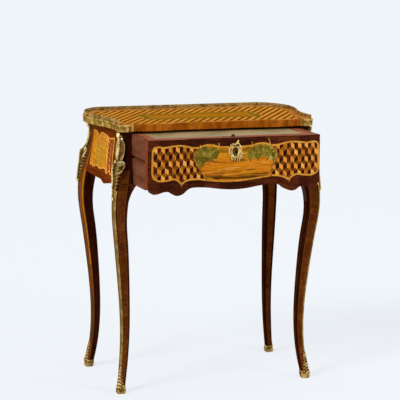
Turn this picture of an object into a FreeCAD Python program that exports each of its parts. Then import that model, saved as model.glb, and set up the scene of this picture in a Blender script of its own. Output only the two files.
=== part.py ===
"""Serpentine writing table on four cabriole legs, with a pull-out writing drawer.

Millimetres, +Z up, +X to the sitter's right hand side of the front view, front towards -Y.
The origin is on the floor, under the middle of the box round the table with its drawer
part open, as it is stored.
"""
import FreeCAD, Part
import math
import os
import Sketcher
from FreeCAD import Placement, Rotation, Vector

doc = FreeCAD.newDocument("writing_table")

# Driving dimensions

DIMENSIONS = {
    # The table's middle and the drawer's opening, along Y
    "table_y": 65.65,
    "drawer_pull": 148.0,
    # How far a cutting tool reaches past the face that it cuts
    "overcut": 1.0,
    # Tabletop: overall size, ears, and how far each stretch of its edge stands from the middle
    "top_height": 742.0,
    "top_thick": 18.5,
    "ear_width": 563.0,
    "ear_reach": 177.5,
    "ear_radius": 18.0,
    "front_middle": 168.0,
    "front_hollow": 165.5,
    "front_hollow_x": 85.0,
    "front_bulge": 174.5,
    "front_bulge_x": 182.0,
    "ear_notch": 168.0,
    "ear_notch_x": 240.0,
    "side_notch": 279.5,
    "side_notch_y": 119.0,
    "side_bow": 310.0,
    "side_bow_y": 72.0,
    "back_line": 180.0,
    "back_run_x": 234.0,
    "back_corner": 45.0,
    # Brass round the top
    "band_thick": 3.2,
    "band_lip": 0.9,
    "lip_high": 4.5,
    "band_start_x": 250.0,
    "end_plate_wide": 9.0,
    "end_plate_thick": 2.0,
    "gallery_high": 10.5,
    "gallery_thick": 1.8,
    "gallery_inset": 3.0,
    "gallery_sag": 0.3,
    "gallery_front": 165.0,
    "pierce_pitch": 29.0,
    "pierce_long": 22.0,
    "pierce_high": 6.4,
    # Front legs: the outer arris and the width of the section at each station, from the top down
    "head_z": 723.5, "head_out_x": 272.0, "head_out_y": 165.0,
    "head_wide_x": 27.0, "head_wide_y": 35.0,
    "neck_z": 675.0, "neck_out_x": 271.0, "neck_out_y": 164.0,
    "neck_wide_x": 26.0, "neck_wide_y": 34.0,
    "hip_z": 610.0, "hip_out_x": 284.5, "hip_out_y": 177.0,
    "hip_wide_x": 38.0, "hip_wide_y": 36.0,
    "knee_z": 545.0, "knee_out_x": 296.0, "knee_out_y": 187.0,
    "knee_wide_x": 38.5, "knee_wide_y": 34.0,
    "calf_z": 430.0, "calf_out_x": 290.0, "calf_out_y": 178.5,
    "calf_wide_x": 32.0, "calf_wide_y": 30.0,
    "shin_z": 280.0, "shin_out_x": 273.5, "shin_out_y": 162.5,
    "shin_wide_x": 25.5, "shin_wide_y": 25.0,
    "ankle_z": 160.0, "ankle_out_x": 267.3, "ankle_out_y": 155.5,
    "ankle_wide_x": 21.0, "ankle_wide_y": 21.0,
    "heel_z": 60.0, "heel_out_x": 273.5, "heel_out_y": 160.0,
    "heel_wide_x": 18.5, "heel_wide_y": 18.5,
    "toe_z": 0.0, "toe_out_x": 281.5, "toe_out_y": 171.0,
    "toe_wide_x": 16.0, "toe_wide_y": 16.0,
    # Back legs: set out wider and further in than the front ones, and more so at the ankle
    "back_out": 3.4,
    "back_in": 10.0,
    "back_splay": 4.2,
    "back_tuck": 12.0,
    # Mounts on the legs
    "filet_wide": 2.6,
    "filet_top": 566.0,
    "filet_low": 84.0,
    "sabot_thick": 1.8,
    "sabot_spread": 1.2,
    "sole_thick": 3.0,
    "sabot_mid_z": 60.0,
    "sabot_slope": 1.45,
    "chute_top": 718.0,
    "chute_low": 548.0,
    "chute_head": 14.0,
    "chute_stem": 9.5,
    "chute_leaf": 14.5,
    "chute_head_thick": 8.5,
    "chute_stem_thick": 6.0,
    "chute_leaf_thick": 12.0,
    "chute_tail_thick": 4.5,
    "bracket_low": 512.0,
    "bracket_foot_x": 260.5,
    "bracket_reach": 231.0,
    "bracket_gap": 1.2,
    "bracket_thick": 26.0,
    "bracket_hollow": 7.0,
    # Carcase panels
    "side_front": 262.0,
    "side_middle": 272.0,
    "side_middle_y": 60.0,
    "side_back": 267.0,
    "side_inner": 254.0,
    "side_end_y": 146.0,
    "swell_neck_z": 680.0, "swell_neck": 0.5,
    "swell_waist_z": 640.0, "swell_waist": 5.5,
    "swell_hip_z": 605.0, "swell_hip": 14.0,
    "swell_low_z": 555.0, "swell_low": 23.0,
    "back_face": 150.0,
    "back_end_x": 252.0,
    "panel_thick": 15.0,
    "side_panel_low": 576.5,
    "back_panel_low": 579.0,
    "panel_lobe": 8.0,
    "lobe_start": 0.16,
    "lobe_crest": 0.4,
    "lobe_end": 0.66,
    "runner_z": 652.0,
    "runner_high": 7.0,
    "runner_inner": 236.5,
    "runner_outer": 252.0,
    "runner_front": 132.0,
    "runner_back": 134.0,
    "tenon_long": 20.0,
    "tenon_thick": 6.0,
    "tenon_high": 36.0,
    "tenon_in_top": 10.0,
    "tenon_side_x": 260.5,
    "tenon_apart": 35.0,
    "tenon_back_x": 120.0,
    "stop_wide": 30.0,
    "stop_high": 18.0,
    # Drawer, as it stands when closed
    "drawer_top": 717.0,
    "drawer_half": 243.0,
    "face_middle": 161.0,
    "face_hollow": 156.0,
    "face_bulge": 166.0,
    "face_end": 160.0,
    "face_back": 134.0,
    "apron_middle": 578.0,
    "apron_rise": 587.0,
    "apron_rise_x": 115.0,
    "apron_point": 568.0,
    "apron_point_x": 163.0,
    "apron_dip": 580.0,
    "apron_dip_x": 192.0,
    "apron_corner": 573.0,
    "apron_corner_x": 226.0,
    "apron_end": 586.0,
    "side_thick": 12.0,
    "side_step": 0.5,
    "side_low": 582.0,
    "groove_deep": 7.0,
    "groove_play": 0.5,
    "drawer_back_y": 128.0,
    "drawer_back_top": 700.0,
    "bottom_thick": 8.0,
    "bottom_lift": 4.0,
    "divider_y": 50.0,
    "divider_thick": 6.0,
    # Writing slide
    "slide_thick": 8.5,
    "slide_gap": 1.0,
    "slide_long": 180.0,
    "slide_border": 21.0,
    "slide_front_border": 15.0,
    "slide_play": 0.4,
    "leather_thick": 1.5,
    "rail_wide": 8.0,
    "rail_high": 8.0,
    # Lock and escutcheon
    "lock_x": 0.6,
    "lock_wide": 54.0,
    "lock_deep": 12.0,
    "lock_high": 48.0,
    "bolt_wide": 8.0,
    "bolt_thick": 5.0,
    "bolt_long": 40.0,
    "bolt_stand": 5.9,
    "bolt_play": 0.3,
    "bolt_throw": 12.0,
    "bolt_drop": 8.0,
    "strike_wide": 36.0,
    "strike_deep": 16.0,
    "strike_thick": 1.5,
    "scutcheon_x": 1.7,
    "scutcheon_z": 678.0,
    "scutcheon_half_x": 20.5,
    "scutcheon_half_z": 28.0,
    "scutcheon_thick": 2.5,
    "scutcheon_lobe": 0.13,
    "keyhole_x": 4.0,
    "keyhole_z": 677.5,
    "keyhole_radius": 2.6,
    "keyhole_slot": 7.0,
    "keyhole_deep": 60.0,
}

sheet = doc.addObject("Spreadsheet::Sheet", "dims")
for row, (alias, number) in enumerate(DIMENSIONS.items(), start=1):
    sheet.set("A%d" % row, alias)
    sheet.set("B%d" % row, str(number))
    sheet.setAlias("B%d" % row, alias)
doc.recompute()


def dim(alias):
    """One driving dimension, read from the sheet."""
    return float(sheet.get(alias))


# Named values that several pieces share

nodes = []
TABLE = Vector(0, dim("table_y"), 0)
DRAWER = Vector(0, dim("table_y") - dim("drawer_pull"), 0)
TABLE_Y = "dims.table_y"
DRAWER_Y = "dims.table_y - dims.drawer_pull"
LOCK_MIDDLE_Y = "(-dims.face_back - dims.lock_deep / 2)"
LOCK_CORNER = ("dims.lock_x - dims.lock_wide / 2", "-dims.face_back - dims.lock_deep",
               "dims.drawer_top - dims.lock_high")
UNDERSIDE = dim("top_height") - dim("top_thick")
STATIONS = ("head", "neck", "hip", "knee", "calf", "shin", "ankle", "heel", "toe")
ANKLE_SHARE = {"calf": 0.35, "shin": 0.8, "ankle": 1.0, "heel": 1.0, "toe": 1.0}
CHUTE_STATIONS = {"head": "head", "neck": "stem", "hip": "leaf", "knee": "tail"}
DIAGONAL = Vector(-1, -1, 0).normalize()
ACROSS = Vector(1, -1, 0).normalize()
SIDES = {"left": -1, "right": 1}
FAR = 400.0


# Helpers that make document objects

def node(piece, label):
    """Name a finished sub-part, so that it is checked and written out."""
    piece.Label = label
    nodes.append(piece)
    return piece


def board(name, size, corner, origin_y):
    """A plain board: its three sizes and its low corner are expressions on the sheet."""
    piece = doc.addObject("Part::Box", name)
    for size_name, expression in zip(("Length", "Width", "Height"), size):
        piece.setExpression(size_name, expression)
    corner_x, corner_y, corner_z = corner
    piece.setExpression("Placement.Base.x", corner_x)
    piece.setExpression("Placement.Base.y", "%s + (%s)" % (origin_y, corner_y))
    piece.setExpression("Placement.Base.z", corner_z)
    return piece


def peg(name, radius, length, centre, origin_y, rotation=Rotation()):
    """A round peg: radius, length and the middle of its first end are expressions."""
    piece = doc.addObject("Part::Cylinder", name)
    piece.Placement.Rotation = rotation
    piece.setExpression("Radius", radius)
    piece.setExpression("Height", length)
    centre_x, centre_y, centre_z = centre
    piece.setExpression("Placement.Base.x", centre_x)
    piece.setExpression("Placement.Base.y", "%s + (%s)" % (origin_y, centre_y))
    piece.setExpression("Placement.Base.z", centre_z)
    return piece


def shaped(name, shape, origin):
    """A piece with a free form, made in table coordinates and placed in the frame."""
    piece = doc.addObject("Part::Feature", name)
    piece.Shape = shape
    piece.Placement = Placement(origin, Rotation())
    return piece


def group(name, pieces):
    compound = doc.addObject("Part::Compound", name)
    compound.Links = pieces
    return compound


def cut(name, base, tools):
    piece = doc.addObject("Part::Cut", name)
    piece.Base = base
    piece.Tool = tools[0] if len(tools) == 1 else group(name + "_tools", tools)
    return piece


def common(name, base, tool):
    piece = doc.addObject("Part::Common", name)
    piece.Base = base
    piece.Tool = tool
    return piece


def mirrored(name, source, normal):
    """The same piece on the other side of the table's own middle plane."""
    piece = doc.addObject("Part::Mirroring", name)
    piece.Source = source
    piece.Base = TABLE
    piece.Normal = normal
    return piece


# Helpers that make outlines

def s_curve(start, end, along):
    """Two tangent arcs between two crests of a serpentine edge that runs along X (0) or Y (1)."""
    run = end[along] - start[along]
    rise = end[1 - along] - start[1 - along]
    if abs(rise) < 1e-6:
        return [Part.LineSegment(Vector(*start), Vector(*end)).toShape()]
    radius = (run * run + rise * rise) / (4 * abs(rise))
    turn = math.atan2(abs(rise), abs(run))
    bend = [0.0, 0.0]
    bend[along] = start[along] + math.copysign(radius * math.sin(turn), run)
    bend[1 - along] = start[1 - along] + math.copysign(radius * (1 - math.cos(turn)), rise)
    first, last = Vector(*start), Vector(*end)
    middle = (first + last) * 0.5
    bend_in = Vector(*bend)
    bend_out = middle * 2 - bend_in
    return [Part.Arc(first, bend_in, middle).toShape(), Part.Arc(middle, bend_out, last).toShape()]


def serpentine(crests, along):
    """The edges of a serpentine line through its crests."""
    edges = []
    for start, end in zip(crests, crests[1:]):
        edges += s_curve(start, end, along)
    return edges


def both_halves(half):
    """Crests on the right of the middle, and the same on the left, from left to right."""
    return [(-x, level) for x, level in reversed(half[1:])] + half


def face_of(edges):
    return Part.Face(Part.Wire(Part.__sortEdges__(edges)))


def upright(edges, z_low, z_high):
    """A plan outline raised to a solid."""
    face = face_of(edges)
    face.translate(Vector(0, 0, z_low))
    return face.extrude(Vector(0, 0, z_high - z_low))


def elevation(edges, turn, depth):
    """An outline drawn with its height along Y, stood up facing -Y or, turned, facing -X."""
    solid = face_of(edges).extrude(Vector(0, 0, 2 * depth))
    solid.translate(Vector(0, 0, -depth))
    solid.rotate(Vector(), Vector(1, 0, 0), 90)
    solid.rotate(Vector(), Vector(0, 0, 1), turn)
    return solid


# Tabletop outline

def ear_round(centre, radius, hand):
    """A quarter round from the side to the front."""
    points = []
    for angle in (0, 45, 90):
        reach_x = radius * math.cos(math.radians(angle))
        reach_y = radius * math.sin(math.radians(angle))
        points.append(centre + Vector(hand * reach_x, -reach_y))
    return Part.Arc(*points).toShape()


def back_corner(hand):
    """A wide round corner: a long arc on from the side's bow, then a tighter one to the back."""
    small = dim("back_corner")
    across = dim("side_bow") - dim("back_run_x")
    along = dim("back_line") - dim("side_bow_y")
    large = (across ** 2 + (along - small) ** 2 - small ** 2) / (2 * (across - small))
    turn = math.atan2(along - small, large - across)
    large_centre = Vector(dim("side_bow") - large, dim("side_bow_y"))
    small_centre = Vector(dim("back_run_x"), dim("back_line") - small)

    def at(centre, radius, angle):
        return Vector(hand * (centre.x + radius * math.cos(angle)), centre.y + radius * math.sin(angle))

    long_arc = [at(large_centre, large, turn * share) for share in (0.0, 0.5, 1.0)]
    rest = math.pi / 2 - turn
    short_arc = [at(small_centre, small, turn + rest * share) for share in (0.0, 0.5, 1.0)]
    return [Part.Arc(*long_arc).toShape(), Part.Arc(long_arc[2], *short_arc[1:]).toShape()]


def top_face():
    """The tabletop's whole plan: serpentine front with two ears, bowed sides, round back corners."""
    radius = dim("ear_radius")
    ear_x, ear_y = dim("ear_width") / 2 - radius, dim("ear_reach") - radius
    front = both_halves([
        (0.0, -dim("front_middle")),
        (dim("front_hollow_x"), -dim("front_hollow")),
        (dim("front_bulge_x"), -dim("front_bulge")),
        (dim("ear_notch_x"), -dim("ear_notch")),
        (ear_x, -dim("ear_reach")),
    ])
    edges = serpentine(front, 0)
    edges += s_curve((-dim("back_run_x"), dim("back_line")), (dim("back_run_x"), dim("back_line")), 0)
    for hand in SIDES.values():
        side = [
            (hand * dim("ear_width") / 2, -ear_y),
            (hand * dim("side_notch"), -dim("side_notch_y")),
            (hand * dim("side_bow"), dim("side_bow_y")),
        ]
        edges += serpentine(side, 1)
        edges.append(ear_round(Vector(hand * ear_x, -ear_y), radius, hand))
        edges += back_corner(hand)
    return face_of(edges)


def ring(outside, inside, z_low, z_high):
    """An upright strip that follows the top's edge, between two offsets from it."""
    outer = OUTLINE.makeOffset2D(outside) if outside else OUTLINE
    strip = outer.cut(OUTLINE.makeOffset2D(inside))
    strip.translate(Vector(0, 0, z_low))
    return strip.extrude(Vector(0, 0, z_high - z_low))


def open_front(strip):
    """A strip round the top without its length along the front edge, between the ears."""
    start = dim("band_start_x")
    return strip.cut(Part.makeBox(2 * start, FAR, 3 * FAR, Vector(-start, -FAR, 0)))


OUTLINE = top_face()


def edge_band():
    """Brass moulding on the left, back and right edges: a flat band under a proud lip."""
    lip_z = dim("top_height") - dim("lip_high")
    band = ring(0.0, -dim("band_thick"), UNDERSIDE, lip_z)
    lip = ring(dim("band_lip"), -dim("band_thick"), lip_z, dim("top_height"))
    moulding = open_front(band.fuse(lip).removeSplitter())
    return node(shaped("edge_band", moulding, TABLE), "edge_band")


def end_plates():
    """Small brass plates where the moulding stops on the front edge."""
    strip = ring(dim("end_plate_thick"), -dim("band_lip"), UNDERSIDE, dim("top_height"))
    strip = strip.cut(OUTLINE.extrude(Vector(0, 0, FAR * 3)))
    wide = dim("end_plate_wide")
    for side, hand in SIDES.items():
        low_x = min(hand * dim("band_start_x"), hand * (dim("band_start_x") - wide))
        region = Part.makeBox(wide, FAR, FAR, Vector(low_x, -FAR, UNDERSIDE - dim("overcut")))
        node(shaped("end_plate_" + side, strip.common(region), TABLE), "end_plate_" + side)


def lozenge(point, along):
    """A lozenge-shaped piercing tool, square to the gallery at one point of its line."""
    half_long, half_high = dim("pierce_long") / 2, dim("pierce_high") / 2
    through = along.cross(Vector(0, 0, 1))
    corners = []
    for step_along, step_up in ((half_long, 0), (0, half_high), (-half_long, 0), (0, -half_high)):
        corners.append(point + along * step_along + Vector(0, 0, step_up) - through * half_high)
    corners.append(corners[0])
    return Part.Face(Part.makePolygon(corners)).extrude(through * 2 * half_high)


def chorded(offset):
    """The plan at an offset from the top's edge, with short straight lengths for its curves."""
    line = OUTLINE.makeOffset2D(offset).OuterWire
    return Part.Face(Part.makePolygon(line.discretize(Deflection=dim("gallery_sag"))))


def gallery():
    """Low pierced rail of short straight lengths that stands on the top's edge, sides and back."""
    inset, thick = dim("gallery_inset"), dim("gallery_thick")
    top = dim("top_height")
    strip = chorded(-inset).cut(chorded(-inset - thick))
    strip.translate(Vector(0, 0, top))
    rail = strip.extrude(Vector(0, 0, dim("gallery_high")))
    line = OUTLINE.makeOffset2D(-inset - thick / 2).OuterWire
    count = int(line.Length / dim("pierce_pitch"))
    points = line.discretize(count + 1)[:-1]
    lift = Vector(0, 0, top + dim("gallery_high") / 2)
    tools = []
    for before, point, after in zip(points[-1:] + points[:-1], points, points[1:] + points[:1]):
        along = (after - before).normalize()
        tools.append(lozenge(point + lift, along))
    behind_front = Part.makeBox(2 * FAR, 2 * FAR, FAR * 3, Vector(-FAR, -dim("gallery_front"), 0))
    pierced = open_front(rail).common(behind_front).cut(Part.makeCompound(tools))
    node(shaped("gallery", pierced, TABLE), "gallery")


# Legs and their mounts

def arris_expression(row, station, axis):
    """Where the outer arris of a front or back leg is at one station, as an expression."""
    base = "dims.%s_out_%s" % (station, axis)
    if row == "front":
        return base
    share = ANKLE_SHARE.get(station, 0.0)
    if axis == "x":
        return "%s + dims.back_out + %s * dims.back_splay" % (base, share)
    return "%s - dims.back_in - %s * dims.back_tuck" % (base, share)


def section(row, station, grow_out=0.0, grow_in=0.0):
    """The outer and inner corners of a leg at one station, grown by the given amounts."""
    out_x, out_y = dim(station + "_out_x"), dim(station + "_out_y")
    if row == "back":
        share = ANKLE_SHARE.get(station, 0.0)
        out_x += dim("back_out") + share * dim("back_splay")
        out_y -= dim("back_in") + share * dim("back_tuck")
    in_x, in_y = out_x - dim(station + "_wide_x"), out_y - dim(station + "_wide_y")
    return out_x + grow_out, out_y + grow_out, in_x - grow_in, in_y - grow_in


def leg_body(row):
    """A left leg as one loft through its square sections, standing at the front."""
    body = doc.addObject("PartDesign::Body", "leg_body_" + row)
    body.setExpression("Placement.Base.y", TABLE_Y)
    plane = next(item for item in body.Origin.OriginFeatures if item.Role == "XY_Plane")
    sections = []
    for station in STATIONS:
        sketch = body.newObject("Sketcher::SketchObject", "section_%s_%s" % (row, station))
        sketch.AttachmentSupport = [(plane, "")]
        sketch.MapMode = "FlatFace"
        sketch.setExpression("AttachmentOffset.Base.z", "dims.%s_z" % station)
        out_x, out_y, in_x, in_y = section(row, station)
        corners = [Vector(-out_x, -out_y), Vector(-in_x, -out_y), Vector(-in_x, -in_y), Vector(-out_x, -in_y)]
        for start, end in zip(corners, corners[1:] + corners[:1]):
            sketch.addGeometry(Part.LineSegment(start, end), False)
        for line in range(4):
            sketch.addConstraint(Sketcher.Constraint("Coincident", line, 2, (line + 1) % 4, 1))
            direction = "Vertical" if line % 2 else "Horizontal"
            sketch.addConstraint(Sketcher.Constraint(direction, line))
        driven = [
            (arris_expression(row, station, "x"), Sketcher.Constraint("DistanceX", 0, 1, -1, 1, out_x)),
            (arris_expression(row, station, "y"), Sketcher.Constraint("DistanceY", 0, 1, -1, 1, out_y)),
            ("dims.%s_wide_x" % station, Sketcher.Constraint("DistanceX", 0, 1, 0, 2, out_x - in_x)),
            ("dims.%s_wide_y" % station, Sketcher.Constraint("DistanceY", 1, 1, 1, 2, out_y - in_y)),
        ]
        for expression, constraint in driven:
            index = sketch.addConstraint(constraint)
            sketch.setExpression("Constraints[%d]" % index, expression)
        sections.append(sketch)
    loft = body.newObject("PartDesign::AdditiveLoft", "leg_loft_" + row)
    loft.Profile = sections[0]
    loft.Sections = sections[1:]
    body.Tip = loft
    return body


def square_loft(levels):
    """A loft through squares, each given by its outer and inner corners and its height."""
    wires = []
    for (out_x, out_y, in_x, in_y), height in levels:
        corners = [(out_x, out_y), (in_x, out_y), (in_x, in_y), (out_x, in_y), (out_x, out_y)]
        wires.append(Part.makePolygon([Vector(-x, -y, height) for x, y in corners]))
    return Part.makeLoft(wires, True)


def arris_tool(row):
    """A slim square bar that follows the outer arris, between the chute and the sabot."""
    half = dim("filet_wide")
    levels = []
    for station in STATIONS:
        out_x, out_y = section(row, station)[:2]
        levels.append(((out_x + half, out_y + half, out_x - half, out_y - half), dim(station + "_z")))
    low, top = dim("filet_low"), dim("filet_top")
    return square_loft(levels).common(Part.makeBox(FAR, FAR, top - low, Vector(-FAR, -FAR, low)))


def sabot_form(row):
    """A shoe round the foot: it spreads at the sole and rises to a tip on the outer arris."""
    levels = []
    for station in STATIONS:
        grow = dim("sabot_thick") + (dim("sabot_spread") if station == "toe" else 0.0)
        levels.append((section(row, station, grow, grow), dim(station + "_z")))
    out_x, out_y, in_x, in_y = section(row, "heel")
    foot = Vector(-(out_x + in_x) / 2, -(out_y + in_y) / 2, 0)
    reach, middle = dim("knee_wide_x"), dim("sabot_mid_z")
    rise = dim("sabot_slope") * reach
    low = -dim("overcut")
    corners = [(-reach, low), (reach, low), (reach, middle + rise), (-reach, middle - rise)]
    points = [foot + DIAGONAL * across + Vector(0, 0, up) for across, up in corners + corners[:1]]
    wedge = Part.Face(Part.makePolygon(points)).extrude(ACROSS * 2 * reach)
    wedge.translate(ACROSS * -reach)
    return square_loft(levels).common(wedge)


def chute_shell(row):
    """The leg grown past its outer faces by the chute's thickness, level by level."""
    levels = []
    for station in STATIONS:
        grow = dim("chute_%s_thick" % CHUTE_STATIONS.get(station, "tail"))
        levels.append((section(row, station, grow), dim(station + "_z")))
    return square_loft(levels)


def chute_mask(row):
    """The chute's outline seen along the diagonal: shell head, stem, leaf and a tail to a point."""
    top, low = dim("chute_top"), dim("chute_low")
    head, stem, leaf = dim("chute_head"), dim("chute_stem"), dim("chute_leaf")
    steps = [(0.0, 0.0), (0.05, head * 0.8), (0.13, head), (0.26, stem), (0.42, stem),
             (0.58, leaf), (0.72, leaf * 0.85), (0.88, stem * 0.7), (1.0, 0.0)]
    out_x, out_y = section(row, "hip")[:2]
    middle = Vector(-out_x, -out_y, 0) - DIAGONAL * dim("hip_wide_x") * 0.6
    sides = []
    for hand in SIDES.values():
        points = []
        for share, half in steps:
            points.append(middle + ACROSS * hand * half + Vector(0, 0, top + (low - top) * share))
        curve = Part.BSplineCurve()
        curve.interpolate(points)
        sides.append(curve.toShape())
    return Part.Face(Part.Wire(sides)).extrude(DIAGONAL * 2 * dim("knee_wide_x"))


def leg_set(row, ground):
    """A left leg at the front with its filet, chute and sabot, and the leg's whole form."""
    form = cut("leg_form_" + row, leg_body(row), [ground])
    arris = shaped("arris_tool_" + row, arris_tool(row), TABLE)
    shell = shaped("chute_shell_" + row, chute_shell(row), TABLE)
    mask = shaped("chute_mask_" + row, chute_mask(row), TABLE)
    shoe = shaped("sabot_form_" + row, sabot_form(row), TABLE)
    pieces = {
        "leg": cut("leg_set_" + row, form, [arris]),
        "leg_filets": common("filet_set_" + row, form, arris),
        "chutes": cut("chute_set_" + row, common("chute_blank_" + row, shell, mask), [form]),
        "sabots": cut("sabot_set_" + row, shoe, [form]),
    }
    return form, pieces


def brackets(front_forms):
    """Curved brackets inside the front legs, which the drawer's apron and sides just clear."""
    low, reach, foot = dim("bracket_low"), dim("bracket_reach"), dim("bracket_foot_x")
    top = dim("apron_end") - dim("bracket_gap")
    root = dim("knee_out_x") - dim("knee_wide_x") / 2
    chord = Vector(reach - foot, low - top)
    inward = Vector(chord.y, -chord.x).normalize()
    hollow = Vector(-(reach + foot) / 2, (top + low) / 2) + inward * dim("bracket_hollow")
    edges = [
        Part.Arc(Vector(-reach, top), hollow, Vector(-foot, low)).toShape(),
        Part.LineSegment(Vector(-foot, low), Vector(-root, low)).toShape(),
        Part.LineSegment(Vector(-root, low), Vector(-root, top)).toShape(),
        Part.LineSegment(Vector(-root, top), Vector(-reach, top)).toShape(),
    ]
    thick = dim("bracket_thick")
    middle_y = -dim("knee_out_y") + dim("knee_wide_y") / 2
    slab = Part.makeBox(2 * FAR, thick, FAR * 2, Vector(-FAR, middle_y - thick / 2, 0))
    gap = dim("bracket_gap")
    closed_apron = elevation(apron_edges(), 0, FAR)
    closed_apron.translate(Vector(0, 0, -gap))
    half = dim("drawer_half") + gap
    side_room = Part.makeBox(2 * half, 2 * FAR, FAR, Vector(-half, -FAR, dim("side_low") - gap))
    form = elevation(edges, 0, FAR).common(slab).cut(closed_apron).cut(side_room)
    left = shaped("bracket_form", form, TABLE)
    fitted = cut("leg_bracket_left", left, [front_forms["left"]])
    node(fitted, "leg_bracket_left")
    node(mirrored("leg_bracket_right", fitted, Vector(1, 0, 0)), "leg_bracket_right")


def legs():
    """Four legs, and their mounts in pairs: each row's left set is made, and mirrored to the right."""
    size = ("2 * dims.ear_width", "2 * dims.ear_width", "dims.sole_thick")
    ground = board("sole_room", size, ("-dims.ear_width", "-dims.ear_width", "0"), TABLE_Y)
    to_right, to_back = Vector(1, 0, 0), Vector(0, 1, 0)
    forms = {}
    for row in ("front", "back"):
        form, pieces = leg_set(row, ground)
        if row == "back":
            form = mirrored("leg_form_back_left", form, to_back)
        forms[row] = {"left": form, "right": mirrored("leg_form_%s_right" % row, form, to_right)}
        for kind, left in pieces.items():
            label = "%s_%s" % (kind, row)
            if row == "back":
                left = mirrored(label + "_left", left, to_back)
            right = mirrored(label + "_right", left, to_right)
            if kind == "leg":
                node(left, label + "_left")
                node(right, label + "_right")
            else:
                node(group(label, [left, right]), label)
    brackets(forms["front"])
    return forms


# Carcase

def square_above(half, low):
    """The straight ends and top of a panel's outline, above its lower edge."""
    corners = [Vector(-half, low), Vector(-half, UNDERSIDE), Vector(half, UNDERSIDE), Vector(half, low)]
    return [Part.LineSegment(start, end).toShape() for start, end in zip(corners, corners[1:])]


def shaped_lower_edge(half, low, lobe):
    """A panel's outline: straight top, and a lower edge with two hanging lobes."""
    crests = both_halves([
        (0.0, low),
        (half * dim("lobe_start"), low),
        (half * dim("lobe_crest"), low - lobe),
        (half * dim("lobe_end"), low),
        (half, low),
    ])
    return serpentine(crests, 0) + square_above(half, low)


def tenons():
    """Loose tenons between the panels and the top, two to a panel."""
    back_y = "dims.back_face - dims.panel_thick / 2"
    foot = "dims.head_z + dims.tenon_in_top - dims.tenon_high"
    along_side = ("dims.tenon_thick", "dims.tenon_long", "dims.tenon_high")
    along_back = ("dims.tenon_long", "dims.tenon_thick", "dims.tenon_high")
    places = []
    for side, sign in (("left", "-"), ("right", "")):
        for end, apart in (("front", "-"), ("back", "+")):
            middle = "dims.side_middle_y %s dims.tenon_apart" % apart
            places.append((end + "_" + side, along_side, sign + "dims.tenon_side_x", middle))
        places.append(("rear_" + side, along_back, sign + "dims.tenon_back_x", back_y))
    pieces = []
    for name, size, middle_x, middle_y in places:
        corner = ("%s - (%s) / 2" % (middle_x, size[0]), "%s - (%s) / 2" % (middle_y, size[1]), foot)
        pieces.append(board("tenon_" + name, size, corner, TABLE_Y))
    return node(group("top_tenons", pieces), "top_tenons")


def side_plan(height, swell):
    """The left side panel cut through at one height: flat inside, bowed outside."""
    end, inner = dim("side_end_y"), -dim("side_inner")
    front = Vector(-dim("side_front") - swell, -end, height)
    crest = Vector(-dim("side_middle") - swell, dim("side_middle_y"), height)
    back = Vector(-dim("side_back") - swell, end, height)
    corners = [back, Vector(inner, end, height), Vector(inner, -end, height), front]
    sides = [Part.LineSegment(a, b).toShape() for a, b in zip(corners, corners[1:])]
    return Part.Wire([Part.Arc(front, crest, back).toShape()] + sides)


def side_form():
    """The left side panel: it swells outwards with the legs, and its lower edge has one lobe."""
    plans = [side_plan(UNDERSIDE, 0.0)]
    for station in ("neck", "waist", "hip", "low"):
        plans.append(side_plan(dim("swell_%s_z" % station), dim("swell_" + station)))
    low, lobe, end = dim("side_panel_low"), dim("panel_lobe"), dim("side_end_y")
    crests = [
        (-end, low),
        (-end * dim("lobe_end"), low),
        (-end * dim("lobe_crest"), low - lobe),
        (-end * dim("lobe_start"), low),
        (end, low),
    ]
    outline = serpentine(crests, 0) + square_above(end, low)
    return Part.makeLoft(plans, True).common(elevation(outline, 90, FAR))


def panels(forms, top_tenons):
    """Side and back panels, fitted to the legs' inner faces."""
    left = shaped("side_form_left", side_form(), TABLE)
    right = mirrored("side_form_right", left, Vector(1, 0, 0))
    for side, form in (("left", left), ("right", right)):
        tools = [forms["front"][side], forms["back"][side], top_tenons]
        node(cut("side_panel_" + side, form, tools), "side_panel_" + side)
    thick = dim("panel_thick")
    slab = Part.makeBox(2 * FAR, thick, FAR * 2, Vector(-FAR, dim("back_face") - thick, 0))
    edges = shaped_lower_edge(dim("back_end_x"), dim("back_panel_low"), dim("panel_lobe"))
    back = shaped("back_form", elevation(edges, 0, FAR).common(slab), TABLE)
    tools = [forms["back"]["left"], forms["back"]["right"], top_tenons]
    node(cut("back_panel", back, tools), "back_panel")


def runners_and_stops(forms):
    """Runners between the legs, and blocks on the back panel that stop the closing drawer."""
    runner_long = "dims.runner_front + dims.runner_back"
    size = ("dims.runner_outer - dims.runner_inner", runner_long, "dims.runner_high")
    for side, low_x in (("left", "-dims.runner_outer"), ("right", "dims.runner_inner")):
        corner = (low_x, "-dims.runner_front", "dims.runner_z")
        blank = board("runner_blank_" + side, size, corner, TABLE_Y)
        tools = [forms["front"][side], forms["back"][side]]
        node(cut("runner_" + side, blank, tools), "runner_" + side)
    back_inner = "(dims.back_face - dims.panel_thick)"
    size = ("dims.stop_wide", back_inner + " - dims.drawer_back_y - dims.groove_play", "dims.stop_high")
    blocks = []
    for side, low_x in (("left", "-dims.tenon_back_x"), ("right", "dims.tenon_back_x - dims.stop_wide")):
        corner = (low_x, "dims.drawer_back_y + dims.groove_play", "dims.side_low + dims.stop_wide")
        blocks.append(board("closing_stop_" + side, size, corner, TABLE_Y))
    node(group("closing_stops", blocks), "closing_stops")


def bolt_slot(name, play, origin_y, low, high):
    """The room a bolt needs, as a tool, between two levels."""
    wide = "dims.bolt_wide + 2 * %s" % play
    thick = "dims.bolt_thick + 2 * %s" % play
    corner = ("dims.lock_x - dims.bolt_wide / 2 - %s" % play,
              "%s - dims.bolt_thick / 2 - %s" % (LOCK_MIDDLE_Y, play), low)
    return board(name, (wide, thick, "%s - (%s)" % (high, low)), corner, origin_y)


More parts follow.
